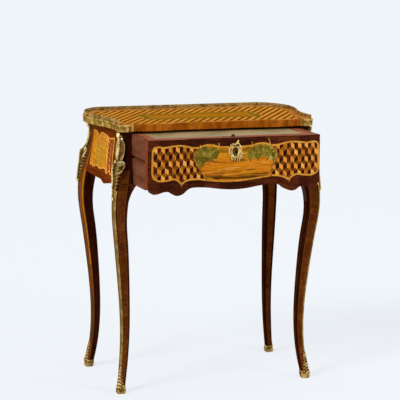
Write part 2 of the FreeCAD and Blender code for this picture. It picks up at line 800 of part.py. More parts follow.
def tabletop(band, top_tenons):
    """The top board, let in for the strike plate and the lock bolt."""
    blank = OUTLINE.copy()
    blank.translate(Vector(0, 0, UNDERSIDE))
    slab = shaped("top_slab", blank.extrude(Vector(0, 0, dim("top_thick"))), TABLE)
    strike_corner = ("dims.lock_x - dims.strike_wide / 2", LOCK_MIDDLE_Y + " - dims.strike_deep / 2",
                     "dims.head_z")
    strike_size = ("dims.strike_wide", "dims.strike_deep", "dims.strike_thick")
    recess = board("strike_recess", strike_size, strike_corner, TABLE_Y)
    plate = board("strike_blank", strike_size, strike_corner, TABLE_Y)
    plate_slot = bolt_slot("strike_slot", "dims.overcut", TABLE_Y, "dims.head_z - dims.overcut",
                           "dims.head_z + dims.bolt_throw")
    mortise = bolt_slot("strike_mortise", "dims.overcut", TABLE_Y, "dims.head_z + dims.strike_thick",
                        "dims.head_z + dims.bolt_throw + dims.overcut")
    board_cut = cut("top_board", slab, [recess, mortise])
    joined = cut("top_joined", board_cut, [top_tenons])
    node(cut("tabletop", joined, [band]), "tabletop")
    node(cut("strike_plate", plate, [plate_slot]), "strike_plate")


# Drawer

def drawer_face_crests():
    return both_halves([
        (0.0, -dim("face_middle")),
        (dim("front_hollow_x"), -dim("face_hollow")),
        (dim("front_bulge_x"), -dim("face_bulge")),
        (dim("drawer_half"), -dim("face_end")),
    ])


def face_slab(back_levels, z_low, z_high):
    """A slab with the drawer's serpentine face in front and the given line behind."""
    crests = drawer_face_crests()
    back = [Vector(*crests[-1])] + back_levels + [Vector(*crests[0])]
    edges = [Part.LineSegment(start, end).toShape() for start, end in zip(back, back[1:])]
    return upright(serpentine(crests, 0) + edges, z_low, z_high)


def apron_edges():
    """The drawer front's elevation: straight top and a scalloped, symmetrical lower edge."""
    half, top = dim("drawer_half"), dim("drawer_top")
    crests = both_halves([
        (0.0, dim("apron_middle")),
        (dim("apron_rise_x"), dim("apron_rise")),
        (dim("apron_point_x"), dim("apron_point")),
        (dim("apron_dip_x"), dim("apron_dip")),
        (dim("apron_corner_x"), dim("apron_corner")),
        (half, dim("apron_end")),
    ])
    corners = [Vector(*crests[-1]), Vector(half, top), Vector(-half, top), Vector(*crests[0])]
    return serpentine(crests, 0) + [Part.LineSegment(a, b).toShape() for a, b in zip(corners, corners[1:])]


def keyhole_tool(name):
    """Round hole and slot for the key, through the escutcheon, the front and the lock."""
    along_y = Rotation(Vector(1, 0, 0), -90)
    start = "-dims.face_bulge - dims.keyhole_deep / 3"
    hole = peg(name + "_hole", "dims.keyhole_radius", "dims.keyhole_deep",
               ("dims.keyhole_x", start, "dims.keyhole_z"), DRAWER_Y, along_y)
    slot_corner = ("dims.keyhole_x - dims.keyhole_radius / 2", start, "dims.keyhole_z - dims.keyhole_slot")
    slot = board(name + "_slot", ("dims.keyhole_radius", "dims.keyhole_deep", "dims.keyhole_slot"),
                 slot_corner, DRAWER_Y)
    tool = doc.addObject("Part::Fuse", name)
    tool.Base = hole
    tool.Tool = slot
    return tool


def drawer_front():
    """Serpentine drawer front with its scalloped apron, let in behind for the lock."""
    half, back = dim("drawer_half"), -dim("face_back")
    low = dim("apron_point") - dim("overcut")
    slab = face_slab([Vector(half, back), Vector(-half, back)], low, dim("drawer_top"))
    front = shaped("drawer_front_form", slab.common(elevation(apron_edges(), 0, FAR)), DRAWER)
    pocket_size = ("dims.lock_wide", "dims.lock_deep + dims.overcut", "dims.lock_high + dims.overcut")
    pocket = board("lock_pocket", pocket_size, LOCK_CORNER, DRAWER_Y)
    return front, pocket


def lock():
    """Lock case behind the drawer front, and the bolt that slides up out of it."""
    case_size = ("dims.lock_wide", "dims.lock_deep", "dims.lock_high")
    case = board("lock_blank", case_size, LOCK_CORNER, DRAWER_Y)
    foot = "dims.drawer_top + dims.bolt_stand - dims.bolt_long"
    slot = bolt_slot("bolt_slot", "dims.bolt_play", DRAWER_Y, foot + " - dims.bolt_drop",
                     "dims.drawer_top + dims.overcut")
    bolt_size = ("dims.bolt_wide", "dims.bolt_thick", "dims.bolt_long")
    bolt_corner = ("dims.lock_x - dims.bolt_wide / 2", LOCK_MIDDLE_Y + " - dims.bolt_thick / 2", foot)
    bolt = board("lock_bolt", bolt_size, bolt_corner, DRAWER_Y)
    return case, slot, bolt


def escutcheon_form():
    """A lobed cartouche plate, flat in front and hollowed behind to lie on the curved drawer face."""
    lobes, chords = 6, 6
    steps = lobes * chords

    def rim(step):
        angle = 2 * math.pi * step / steps
        reach = 1 + dim("scutcheon_lobe") * math.cos(lobes * angle)
        return Vector(dim("scutcheon_x") + dim("scutcheon_half_x") * reach * math.sin(angle),
                      dim("scutcheon_z") + dim("scutcheon_half_z") * reach * math.cos(angle))

    edges = Part.makePolygon([rim(step) for step in range(steps + 1)]).Edges
    half, back = dim("drawer_half"), -dim("face_back")
    reach = 2 * dim("scutcheon_half_z")
    levels = [Vector(half, back), Vector(-half, back)]
    wood = face_slab(levels, dim("scutcheon_z") - reach, dim("scutcheon_z") + reach)
    front = -dim("face_middle") - dim("scutcheon_thick")
    slab = Part.makeBox(2 * FAR, back - front, 2 * FAR, Vector(-FAR, front, 0))
    return elevation(edges, 0, FAR).common(slab).cut(wood)


def drawer_sides():
    """Drawer sides, each a board with a groove that rides on its runner."""
    long = "dims.face_back + dims.drawer_back_y"
    size = ("dims.side_thick", long, "dims.drawer_top - dims.side_step - dims.side_low")
    groove_size = ("dims.groove_deep + dims.overcut", long + " + dims.overcut",
                   "dims.runner_high + 2 * dims.groove_play")
    groove_z = "dims.runner_z - dims.groove_play"
    for side, hand in SIDES.items():
        low_x = "-dims.drawer_half" if hand < 0 else "dims.drawer_half - dims.side_thick"
        groove_x = "-dims.drawer_half - dims.overcut" if hand < 0 else "dims.drawer_half - dims.groove_deep"
        corner = (low_x, "-dims.face_back", "dims.side_low")
        blank = board("drawer_side_blank_" + side, size, corner, DRAWER_Y)
        groove_corner = (groove_x, "-dims.face_back", groove_z)
        groove = board("runner_groove_" + side, groove_size, groove_corner, DRAWER_Y)
        node(cut("drawer_side_" + side, blank, [groove]), "drawer_side_" + side)


def drawer_inside():
    """Drawer bottom, back, cross divider and the rails that carry the writing slide."""
    inner = "(dims.drawer_half - dims.side_thick)"
    floor = "(dims.side_low + dims.bottom_lift)"
    above_floor = "(%s + dims.bottom_thick)" % floor
    back_front = "(dims.drawer_back_y - dims.side_thick)"
    rail_low = "(dims.drawer_top - dims.slide_gap - dims.slide_thick - dims.slide_play - dims.rail_high)"
    wide = "2 * " + inner
    left = "-" + inner
    long = "dims.face_back + " + back_front
    boards = {
        "drawer_bottom": ((wide, long, "dims.bottom_thick"), (left, "-dims.face_back", floor)),
        "drawer_back": ((wide, "dims.side_thick", "dims.drawer_back_top - dims.side_low"),
                        (left, back_front, "dims.side_low")),
        "drawer_divider": ((wide, "dims.divider_thick", "%s - %s" % (rail_low, above_floor)),
                           (left, "dims.divider_y", above_floor)),
        "slide_rail_left": (("dims.rail_wide", long, "dims.rail_high"), (left, "-dims.face_back", rail_low)),
        "slide_rail_right": (("dims.rail_wide", long, "dims.rail_high"),
                             (inner + " - dims.rail_wide", "-dims.face_back", rail_low)),
    }
    for label, (size, corner) in boards.items():
        node(board(label, size, corner, DRAWER_Y), label)


def writing_slide():
    """The leather-lined panel that covers the drawer and slides back over its rear part."""
    half = "(dims.drawer_half - dims.side_thick - dims.slide_play)"
    front = "(-dims.face_back + dims.slide_play)"
    low = "(dims.drawer_top - dims.slide_gap - dims.slide_thick)"
    panel = board("slide_blank", ("2 * " + half, "dims.slide_long", "dims.slide_thick"),
                  ("-" + half, front, low), DRAWER_Y)
    field_size = ("2 * (%s - dims.slide_border)" % half,
                  "dims.slide_long - 2 * dims.slide_front_border", "dims.leather_thick")
    field_corner = ("-(%s - dims.slide_border)" % half, front + " + dims.slide_front_border",
                    low + " + dims.slide_thick - dims.leather_thick")
    field = board("leather_recess", field_size, field_corner, DRAWER_Y)
    node(cut("slide_frame", panel, [field]), "slide_frame")
    node(board("slide_leather", field_size, field_corner, DRAWER_Y), "slide_leather")


def drawer():
    front, pocket = drawer_front()
    case, slot, bolt = lock()
    key = keyhole_tool("keyhole")
    plate = shaped("escutcheon_form", escutcheon_form(), DRAWER)
    node(cut("drawer_front", cut("drawer_front_pocket", front, [pocket]), [key]), "drawer_front")
    node(cut("lock_case", cut("lock_case_slot", case, [slot]), [key]), "lock_case")
    node(cut("escutcheon", plate, [key]), "escutcheon")
    node(bolt, "lock_bolt")
    drawer_sides()
    drawer_inside()
    writing_slide()


# Build, check and write every sub-part

top_tenons = tenons()
band = edge_band()
end_plates()
gallery()
leg_forms = legs()
panels(leg_forms, top_tenons)
runners_and_stops(leg_forms)
tabletop(band, top_tenons)
drawer()
doc.recompute()

failed = [item.Label for item in doc.Objects if "Invalid" in item.State or "Error" in item.State]
for piece in nodes:
    if piece.Shape.isNull() or not piece.Shape.isValid() or not piece.Shape.Solids:
        failed.append(piece.Label)
if failed:
    raise RuntimeError("these pieces failed: " + ", ".join(failed))

os.makedirs("parts", exist_ok=True)
whole = FreeCAD.BoundBox()
for piece in nodes:
    piece.Shape.exportStep("parts/%s.step" % piece.Label)
    whole.add(piece.Shape.BoundBox)
print(len(nodes), "sub-parts,", "box", whole)
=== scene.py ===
import math
import random

import bmesh
import bpy
from mathutils import Matrix, Vector
from mathutils.bvhtree import BVHTree
from mathutils.geometry import delaunay_2d_cdt


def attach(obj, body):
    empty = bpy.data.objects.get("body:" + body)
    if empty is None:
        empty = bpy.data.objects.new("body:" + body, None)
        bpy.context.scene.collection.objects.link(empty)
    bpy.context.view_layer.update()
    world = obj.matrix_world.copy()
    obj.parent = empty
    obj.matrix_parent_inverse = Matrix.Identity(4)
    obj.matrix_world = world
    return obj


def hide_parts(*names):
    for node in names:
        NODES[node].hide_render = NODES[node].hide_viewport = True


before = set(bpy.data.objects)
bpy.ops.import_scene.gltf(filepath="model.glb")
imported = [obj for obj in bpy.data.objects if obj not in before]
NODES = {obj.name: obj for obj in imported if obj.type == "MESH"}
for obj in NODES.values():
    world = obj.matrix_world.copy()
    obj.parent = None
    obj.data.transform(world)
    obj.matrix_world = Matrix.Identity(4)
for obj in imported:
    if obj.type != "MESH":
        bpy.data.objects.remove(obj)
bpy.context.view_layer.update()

# Places and sizes are in millimetres, in the table's frame. MM turns them into Blender's metres.
MM = 0.001
TABLE_Y = 65.65
DRAWER_Y = TABLE_Y - 148.0
TOP_Z = 742.0
FULL_TURN = 2 * math.pi
UP = Vector((0, 0, 1))
ROWS = {"front": -1, "back": 1}
SIDES = {"left": -1, "right": 1}
MAT = {}


def linear(rgb):
    """Linear colour of an sRGB triple written from 0 to 255."""
    out = []
    for channel in rgb:
        share = channel / 255
        out.append(share / 12.92 if share <= 0.04045 else ((share + 0.055) / 1.055) ** 2.4)
    return (*out, 1.0)


def placed(name, data):
    """A new object in the scene."""
    item = bpy.data.objects.new(name, data)
    bpy.context.scene.collection.objects.link(item)
    return item


class Graph:
    """The nodes of a material or world, added and linked by short calls."""

    def __init__(self, owner, shader="Principled BSDF"):
        owner.use_nodes = True
        self.tree = owner.node_tree
        self.shader = self.tree.nodes[shader]

    def put(self, socket, value):
        """Links an output to a socket, or sets the socket to a plain value."""
        if isinstance(value, bpy.types.NodeSocket):
            self.tree.links.new(value, socket)
        else:
            socket.default_value = value

    def add(self, kind, **inputs):
        return self.feed(self.tree.nodes.new(kind), **inputs)

    def feed(self, node, **inputs):
        for key, value in inputs.items():
            self.put(node.inputs[key.replace("_", " ")], value)
        return node

    def place(self, stretch=(1.0, 1.0, 1.0), turn=0.0):
        """Object coordinates, turned about the upright axis and scaled on each axis."""
        where = self.add("ShaderNodeTexCoord").outputs["Object"]
        spun = self.add("ShaderNodeMapping", Vector=where, Rotation=(0.0, 0.0, turn))
        return self.add("ShaderNodeMapping", Vector=spun.outputs[0], Scale=stretch).outputs[0]

    def noise(self, where, scale, detail=4.0, roughness=0.6, bend=0.0):
        return self.add("ShaderNodeTexNoise", Vector=where, Scale=scale, Detail=detail,
                        Roughness=roughness, Distortion=bend).outputs[0]

    def math(self, way, first, second):
        made = self.tree.nodes.new("ShaderNodeMath")
        made.operation = way
        self.put(made.inputs[0], first)
        self.put(made.inputs[1], second)
        return made.outputs[0]

    def blend(self, first, second, share):
        """A sum of two values, of which the second has the given share."""
        rest = self.math("MULTIPLY", first, 1 - share)
        return self.math("ADD", rest, self.math("MULTIPLY", second, share))

    def seen(self):
        """One where a ray comes from the camera, a reflection or a glass, and zero for the rest."""
        path = self.add("ShaderNodeLightPath").outputs
        either = self.math("MAXIMUM", path["Is Camera Ray"], path["Is Glossy Ray"])
        return self.math("MAXIMUM", either, path["Is Transmission Ray"])

    def ramp(self, factor, *stops):
        made = self.add("ShaderNodeValToRGB", Fac=factor)
        elements = made.color_ramp.elements
        while len(elements) < len(stops):
            elements.new(0.5)
        for element, (position, colour) in zip(elements, stops):
            element.position = position
            element.color = linear(colour)
        return made.outputs["Color"]

    def span(self, value, low, high):
        """A value near one half spread over a range."""
        return self.add("ShaderNodeMapRange", Value=value, From_Min=0.3, From_Max=0.7,
                        To_Min=low, To_Max=high).outputs[0]

    def bump(self, height, strength, depth):
        return self.add("ShaderNodeBump", Height=height, Strength=strength, Distance=depth).outputs[0]


def new_material(name):
    MAT[name] = bpy.data.materials.new(name)
    return Graph(MAT[name])


def wood(name, dark, mid, light, grain, turn=0.0, tint=0.2, figure=0.45, rough=0.40, shine=0.01):
    """Polished veneer with fibres along its slow axis, a broader figure and a tint for each piece."""
    graph = new_material(name)
    where = graph.place(grain, turn)
    fibre = graph.noise(where, scale=1.0, detail=5.0, roughness=0.65)
    broad = graph.noise(where, scale=0.19, detail=3.0, roughness=0.55, bend=0.8)
    piece = graph.add("ShaderNodeNewGeometry").outputs["Random Per Island"]
    shift = graph.math("MULTIPLY", graph.math("SUBTRACT", piece, 0.5), tint)
    tone = graph.math("ADD", graph.blend(fibre, broad, figure), shift)
    graph.feed(graph.shader, Base_Color=graph.ramp(tone, (0.30, dark), (0.5, mid), (0.70, light)),
               Roughness=graph.span(fibre, rough - 0.08, rough + 0.08),
               Normal=graph.bump(fibre, strength=0.10, depth=0.0004), Specular_IOR_Level=shine)


def gilt(name, deep, body, bright, rough=0.30, edges=0.62, metal=0.75):
    """Old gilt bronze: worn bright on the edges, brown in the hollows, slightly pitted."""
    graph = new_material(name)
    where = graph.place()
    wear = graph.noise(where, scale=55.0)
    pits = graph.noise(where, scale=900.0, detail=3.0)
    edge = graph.add("ShaderNodeNewGeometry").outputs["Pointiness"]
    tone = graph.blend(graph.blend(wear, edge, edges), pits, share=0.15)
    graph.feed(graph.shader, Base_Color=graph.ramp(tone, (0.42, deep), (0.50, body), (0.58, bright)),
               Roughness=graph.span(wear, rough - 0.10, rough + 0.14),
               Normal=graph.bump(pits, strength=0.16, depth=0.0005),
               Metallic=metal, Specular_IOR_Level=0.15, Specular_Tint=linear((206, 170, 92)))


def iron(name):
    """Dull blackened iron with a little rust."""
    graph = new_material(name)
    patch = graph.noise(graph.place(), scale=120.0, detail=5.0, roughness=0.65)
    tones = ((0.35, (24, 22, 22)), (0.55, (52, 44, 40)), (0.72, (88, 58, 40)))
    graph.feed(graph.shader, Base_Color=graph.ramp(patch, *tones), Roughness=graph.span(patch, 0.45, 0.65),
               Normal=graph.bump(patch, strength=0.2, depth=0.0006), Metallic=0.8)


def leather(name):
    """Aged writing leather: pebbled, faded from olive to tan."""
    graph = new_material(name)
    where = graph.place()
    fading = graph.noise(where, scale=7.0, bend=0.4)
    scuff = graph.noise(where, scale=90.0, roughness=0.7)
    pebble = graph.add("ShaderNodeTexVoronoi", Vector=where, Scale=700.0).outputs["Distance"]
    tones = ((0.32, (120, 106, 62)), (0.48, (154, 134, 84)), (0.66, (186, 152, 108)))
    graph.feed(graph.shader, Base_Color=graph.ramp(graph.blend(fading, scuff, share=0.35), *tones),
               Roughness=graph.span(scuff, 0.42, 0.62),
               Normal=graph.bump(pebble, strength=0.25, depth=0.0003))


# How often the grain changes along each axis, per metre.
ALONG_X = (30.0, 420.0, 420.0)
ALONG_Y = (420.0, 30.0, 420.0)
ALONG_Z = (420.0, 420.0, 30.0)
ACROSS_EDGE = (300.0, 300.0, 60.0)
CURLED = (160.0, 160.0, 160.0)
CLOSE = (120.0, 120.0, 120.0)
BLOTCHED = (90.0, 90.0, 150.0)
CLOUDED = (60.0, 200.0, 200.0)
STRIPE_TURN = math.radians(57)
OLIVE = ((98, 84, 18), (124, 106, 32), (152, 128, 54))
BOX = ((160, 98, 24), (194, 130, 42), (222, 160, 72))
INSIDE = ((78, 38, 22), (112, 62, 40), (146, 92, 66))


def materials():
    """Woods by their dark, middle and light tone, metals by hollow, body and worn edge."""
    wood("kingwood_x", (32, 9, 4), (63, 24, 10), (100, 48, 22), ALONG_X)
    wood("leg_wood", (18, 4, 0), (38, 12, 3), (62, 24, 8), ALONG_Z, shine=0.0)
    wood("leg_centre", (46, 18, 3), (84, 38, 9), (120, 64, 22), BLOTCHED)
    # A darker copy of leg_centre for the legs' inner faces: painted shade where they face each other under
    # the table.
    wood("leg_painted_shade", (36, 11, 1), (64, 25, 5), (92, 44, 13), BLOTCHED, shine=0.0)
    wood("leg_line", (80, 40, 10), (114, 64, 20), (146, 92, 36), ALONG_Z)
    wood("leg_amber", (78, 34, 5), (116, 58, 12), (150, 86, 28), ALONG_Z)
    wood("leg_fade", (118, 58, 8), (148, 80, 16), (176, 106, 32), ALONG_Z)
    # Painted sheen: a light brown in place of the reflection at the top of the back left leg's golden strip,
    # where it meets the side panel.
    wood("leg_painted_sheen", (150, 84, 40), (190, 118, 62), (216, 150, 92), ALONG_Z)
    wood("leg_gold", (160, 88, 8), (198, 116, 18), (226, 150, 42), ALONG_Z)
    wood("crossband", (104, 48, 4), (156, 82, 12), (200, 118, 32), ACROSS_EDGE, tint=0.14)
    wood("top_border", (150, 84, 22), (196, 122, 46), (226, 160, 88), CURLED, shine=0.0)
    wood("top_gold", (142, 82, 8), (178, 112, 18), (208, 144, 40), ALONG_X, shine=0.0)
    wood("top_line", *BOX, CLOSE, tint=0.1, shine=0.0)
    wood("top_olive", *OLIVE, CURLED, shine=0.0)
    wood("stripe_light", (184, 110, 26), (218, 148, 50), (240, 182, 88), ALONG_X, -STRIPE_TURN, shine=0.0)
    wood("stripe_dark", (84, 38, 2), (118, 62, 6), (148, 86, 18), ALONG_X, -STRIPE_TURN, shine=0.0)
    wood("golden_x", (162, 92, 10), (196, 126, 22), (220, 156, 42), ALONG_X)
    wood("olive", *OLIVE, CURLED, tint=0.3)
    wood("boxwood", *BOX, CLOSE, tint=0.1)
    wood("cube_light", (158, 88, 18), (206, 128, 44), (234, 160, 74), ALONG_Z, tint=0.34)
    wood("cube_mid", (72, 34, 4), (108, 58, 10), (140, 84, 22), ALONG_X, tint=0.34)
    wood("cube_dark", (30, 6, 1), (52, 15, 4), (80, 32, 12), ALONG_Z, tint=0.35)
    wood("umber", (76, 34, 6), (114, 60, 12), (148, 86, 26), ALONG_X, tint=0.3)
    wood("moss", (70, 58, 12), (98, 82, 20), (126, 104, 36), CURLED, tint=0.3)
    wood("sage", (122, 104, 36), (150, 128, 56), (178, 150, 84), CURLED, tint=0.3)
    wood("sky", (150, 86, 8), (186, 114, 16), (212, 144, 38), CLOUDED, tint=0.1, figure=0.7)
    wood("hill", (168, 94, 30), (204, 134, 56), (228, 168, 92), ALONG_X, tint=0.1)
    wood("field", (148, 76, 5), (186, 108, 15), (214, 138, 36), ALONG_X, tint=0.1)
    wood("earth", (42, 22, 4), (74, 42, 8), (108, 66, 18), ALONG_X)
    wood("dusk", (112, 72, 8), (144, 96, 16), (172, 122, 34), ALONG_X)
    wood("amber", (124, 58, 6), (168, 90, 16), (206, 128, 42), ALONG_X, tint=0.3)
    wood("russet", (86, 32, 12), (128, 56, 24), (158, 82, 42), ALONG_Z)
    wood("rosso_y", (66, 24, 4), (108, 46, 12), (146, 78, 28), ALONG_Y, shine=0.0)
    wood("rose", (116, 58, 34), (154, 84, 54), (188, 118, 78), ALONG_X)
    wood("honey", (178, 102, 0), (212, 138, 8), (236, 168, 34), ALONG_Y)
    wood("side_amber", (138, 72, 4), (176, 98, 10), (208, 128, 30), CURLED)
    wood("side_green", (132, 108, 10), (164, 134, 22), (194, 158, 44), CURLED)
    wood("rust", (44, 22, 8), (78, 42, 16), (120, 70, 30), ALONG_Z, rough=0.6)
    wood("flame", (94, 32, 0), (134, 56, 4), (170, 86, 14), ALONG_Z)
    wood("side_string", (206, 122, 26), (230, 150, 44), (246, 180, 76), CLOSE)
    wood("inside_y", *INSIDE, ALONG_Y, rough=0.52, shine=0.02)
    wood("inside_x", *INSIDE, ALONG_X, rough=0.52, shine=0.02)
    gilt("gilt", (30, 18, 3), (102, 72, 24), (252, 216, 140), edges=0.8, metal=0.5)
    gilt("gilt_deep", (28, 17, 3), (84, 59, 20), (168, 132, 68), edges=0.7, metal=0.5)
    gilt("gilt_bright", (92, 66, 26), (192, 154, 88), (252, 228, 172), edges=0.7, metal=0.35)
    gilt("brass", (84, 60, 14), (138, 106, 42), (232, 194, 112), rough=0.40)
    gilt("filet", (88, 66, 24), (132, 102, 46), (186, 150, 86), rough=0.42)
    # A darker copy of the filet brass for the back legs: painted shade.
    gilt("filet_painted_shade", (58, 34, 10), (88, 54, 18), (124, 82, 36), rough=0.46)
    # A darker copy of brass for the right end plate: painted shade, where the left end plate is lit.
    gilt("brass_painted_shade", (66, 42, 12), (108, 70, 22), (150, 104, 42), rough=0.44)
    gilt("gallery", (64, 42, 12), (122, 92, 38), (204, 170, 104), rough=0.42)
    gilt("shoe", (36, 25, 4), (100, 73, 25), (236, 198, 128), rough=0.34, edges=0.75)
    gilt("patina", (30, 22, 6), (70, 54, 20), (120, 94, 44), rough=0.46)
    iron("iron")
    leather("leather")


NODE_FINISH = {
    # The right end plate takes a darker brass than the left, which is painted shade.
    "tabletop": "crossband", "edge_band": "brass", "end_plate": "brass", "end_plate_right": "brass_painted_shade",
    # The back legs' filets take a darker brass, which is painted shade.
    "gallery": "gallery", "leg_filets": "brass", "leg_filets_back": "filet_painted_shade", "leg_": "leg_wood",
    "leg_bracket": "kingwood_x", "chutes": "gilt", "sabots": "shoe", "side_panel": "rosso_y",
    "back_panel": "kingwood_x", "runner": "inside_y", "top_tenons": "inside_x", "closing_stops": "inside_x",
    "strike_plate": "iron", "drawer_front": "kingwood_x", "drawer_side": "inside_y",
    "drawer_back": "inside_x", "drawer_bottom": "inside_x", "drawer_divider": "inside_x",
    "slide_rail": "inside_y", "escutcheon": "gilt", "lock_": "iron", "lock_bolt": "rust",
    "slide_frame": "rose", "slide_leather": "leather",
}


def finish_nodes():
    """Each CAD node takes the finish of the longest name that it starts with."""
    for name, item in NODES.items():
        keys = [key for key in NODE_FINISH if name.startswith(key)]
        item.data.materials.clear()
        item.data.materials.append(MAT[NODE_FINISH[max(keys, key=len)]])


def add_mesh(name, points, faces, face_slots, kinds, body, slot, smooth=False):
    """A piece from points in millimetres, which rides on a body and takes the finishes of the given kinds;
    the slot is not used.
    """
    mesh = bpy.data.meshes.new(name)
    mesh.from_pydata([[value * MM for value in point] for point in points], [], faces)
    for kind in kinds:
        mesh.materials.append(MAT[kind])
    mesh.polygons.foreach_set("material_index", face_slots)
    mesh.polygons.foreach_set("use_smooth", [smooth] * len(faces))
    mesh.update()
    piece = placed(name, mesh)
    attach(piece, body)
    return piece


SURFACES = {}
AFAR = 1000.0
VIEWS = {
    "front": (Vector((0, 1, 0)), lambda u, v: Vector((u, -AFAR, v))),
    "left": (Vector((1, 0, 0)), lambda u, v: Vector((-AFAR, u, v))),
    "right": (Vector((-1, 0, 0)), lambda u, v: Vector((AFAR, u, v))),
    "top": (Vector((0, 0, -1)), lambda u, v: Vector((u, v, 2 * AFAR))),
}


def surface(node):
    """A search tree over one CAD node, in metres."""
    if node not in SURFACES:
        mesh = NODES[node].data
        corners = [vertex.co for vertex in mesh.vertices]
        SURFACES[node] = BVHTree.FromPolygons(corners, [list(face.vertices) for face in mesh.polygons])
    return SURFACES[node]


def laid(view, node, u, v, lift):
    """The point of a CAD node's face under a drawn point, lifted towards the viewer."""
    toward, start = VIEWS[view]
    origin = start(u, v)
    hit = surface(node).ray_cast(origin * MM, toward)[0]
    if hit is None:
        hit = surface(node).find_nearest((origin + toward * AFAR) * MM)[0]
    return hit / MM - toward * lift


def around(line, index, closed):
    """The points before and after one point of a line; an open end has itself as a neighbour."""
    count = len(line)
    before = line[index - 1] if index or closed else line[index]
    after = line[(index + 1) % count] if index + 1 < count or closed else line[index]
    return before, after


def along(value, index, count):
    """A fixed value, or one that changes along a line."""
    return value(index / (count - 1)) if callable(value) else value


def taper(first, last):
    """A width that changes evenly along a line."""
    return lambda share: first + (last - first) * share


def bulge(ends, middle):
    """A width that is largest or smallest at the middle of a line."""
    return lambda share: ends + (middle - ends) * math.sin(math.pi * share)


def angles(count):
    """Even steps round a full turn."""
    return [FULL_TURN * step / count for step in range(count)]


def turning(loop):
    """Twice the area inside a loop, above zero where it runs anticlockwise."""
    return sum(a[0] * b[1] - b[0] * a[1] for a, b in zip(loop, list(loop[1:]) + list(loop[:1])))


def anticlockwise(loop):
    return loop if turning(loop) > 0 else loop[::-1]


def curve(points, closed=False, steps=8):
    """A smooth line through the given points."""
    count = len(points)
    out = []
    for index in range(count if closed else count - 1):
        near = []
        for spot in range(index - 1, index + 3):
            near.append(Vector(points[spot % count if closed else min(max(spot, 0), count - 1)]))
        a, b, c, d = near
        for step in range(steps):
            t = step / steps
            square, cube = 2 * a - 5 * b + 4 * c - d, 3 * b - a - 3 * c + d
            spot = 0.5 * (2 * b + (c - a) * t + square * t * t + cube * t ** 3)
            out.append((spot.x, spot.y))
    if not closed:
        out.append(tuple(points[-1]))
    return out


def grown(loop, amount):
    """A closed line moved outwards by an amount, for loops that run anticlockwise."""
    out = []
    for index, (u, v) in enumerate(loop):
        before, after = around(loop, index, True)
        run = Vector((after[0] - before[0], after[1] - before[1]))
        out.append((u + run.y / run.length * amount, v - run.x / run.length * amount))
    return out


def even(loop, pitch):
    """A closed line with points at even distances."""
    spans = [math.dist(a, b) for a, b in zip(loop, loop[1:] + loop[:1])]
    count = int(sum(spans) / pitch)
    out, index, gone = [], 0, 0.0
    for step in range(count):
        goal = sum(spans) * step / count
        while gone + spans[index] < goal:
            gone += spans[index]
            index += 1
        share = (goal - gone) / spans[index]
        a, b = loop[index], loop[(index + 1) % len(loop)]
        out.append((a[0] + (b[0] - a[0]) * share, a[1] + (b[1] - a[1]) * share))
    return out


def inset(loop, amount):
    """A closed line moved inwards, without the points that come too near the edge elsewhere."""
    moved = grown(loop, -amount)
    return [point for point in moved if min(math.dist(point, edge) for edge in loop) > amount * 0.97]


VENEER_STEP, VENEER_LIFT, VENEER_LAYER = 9.0, 0.15, 0.07
SAME_SPOT = 1e-4
DRAWN_AXES = {"u": Vector((1, 0)), "v": Vector((0, 1))}


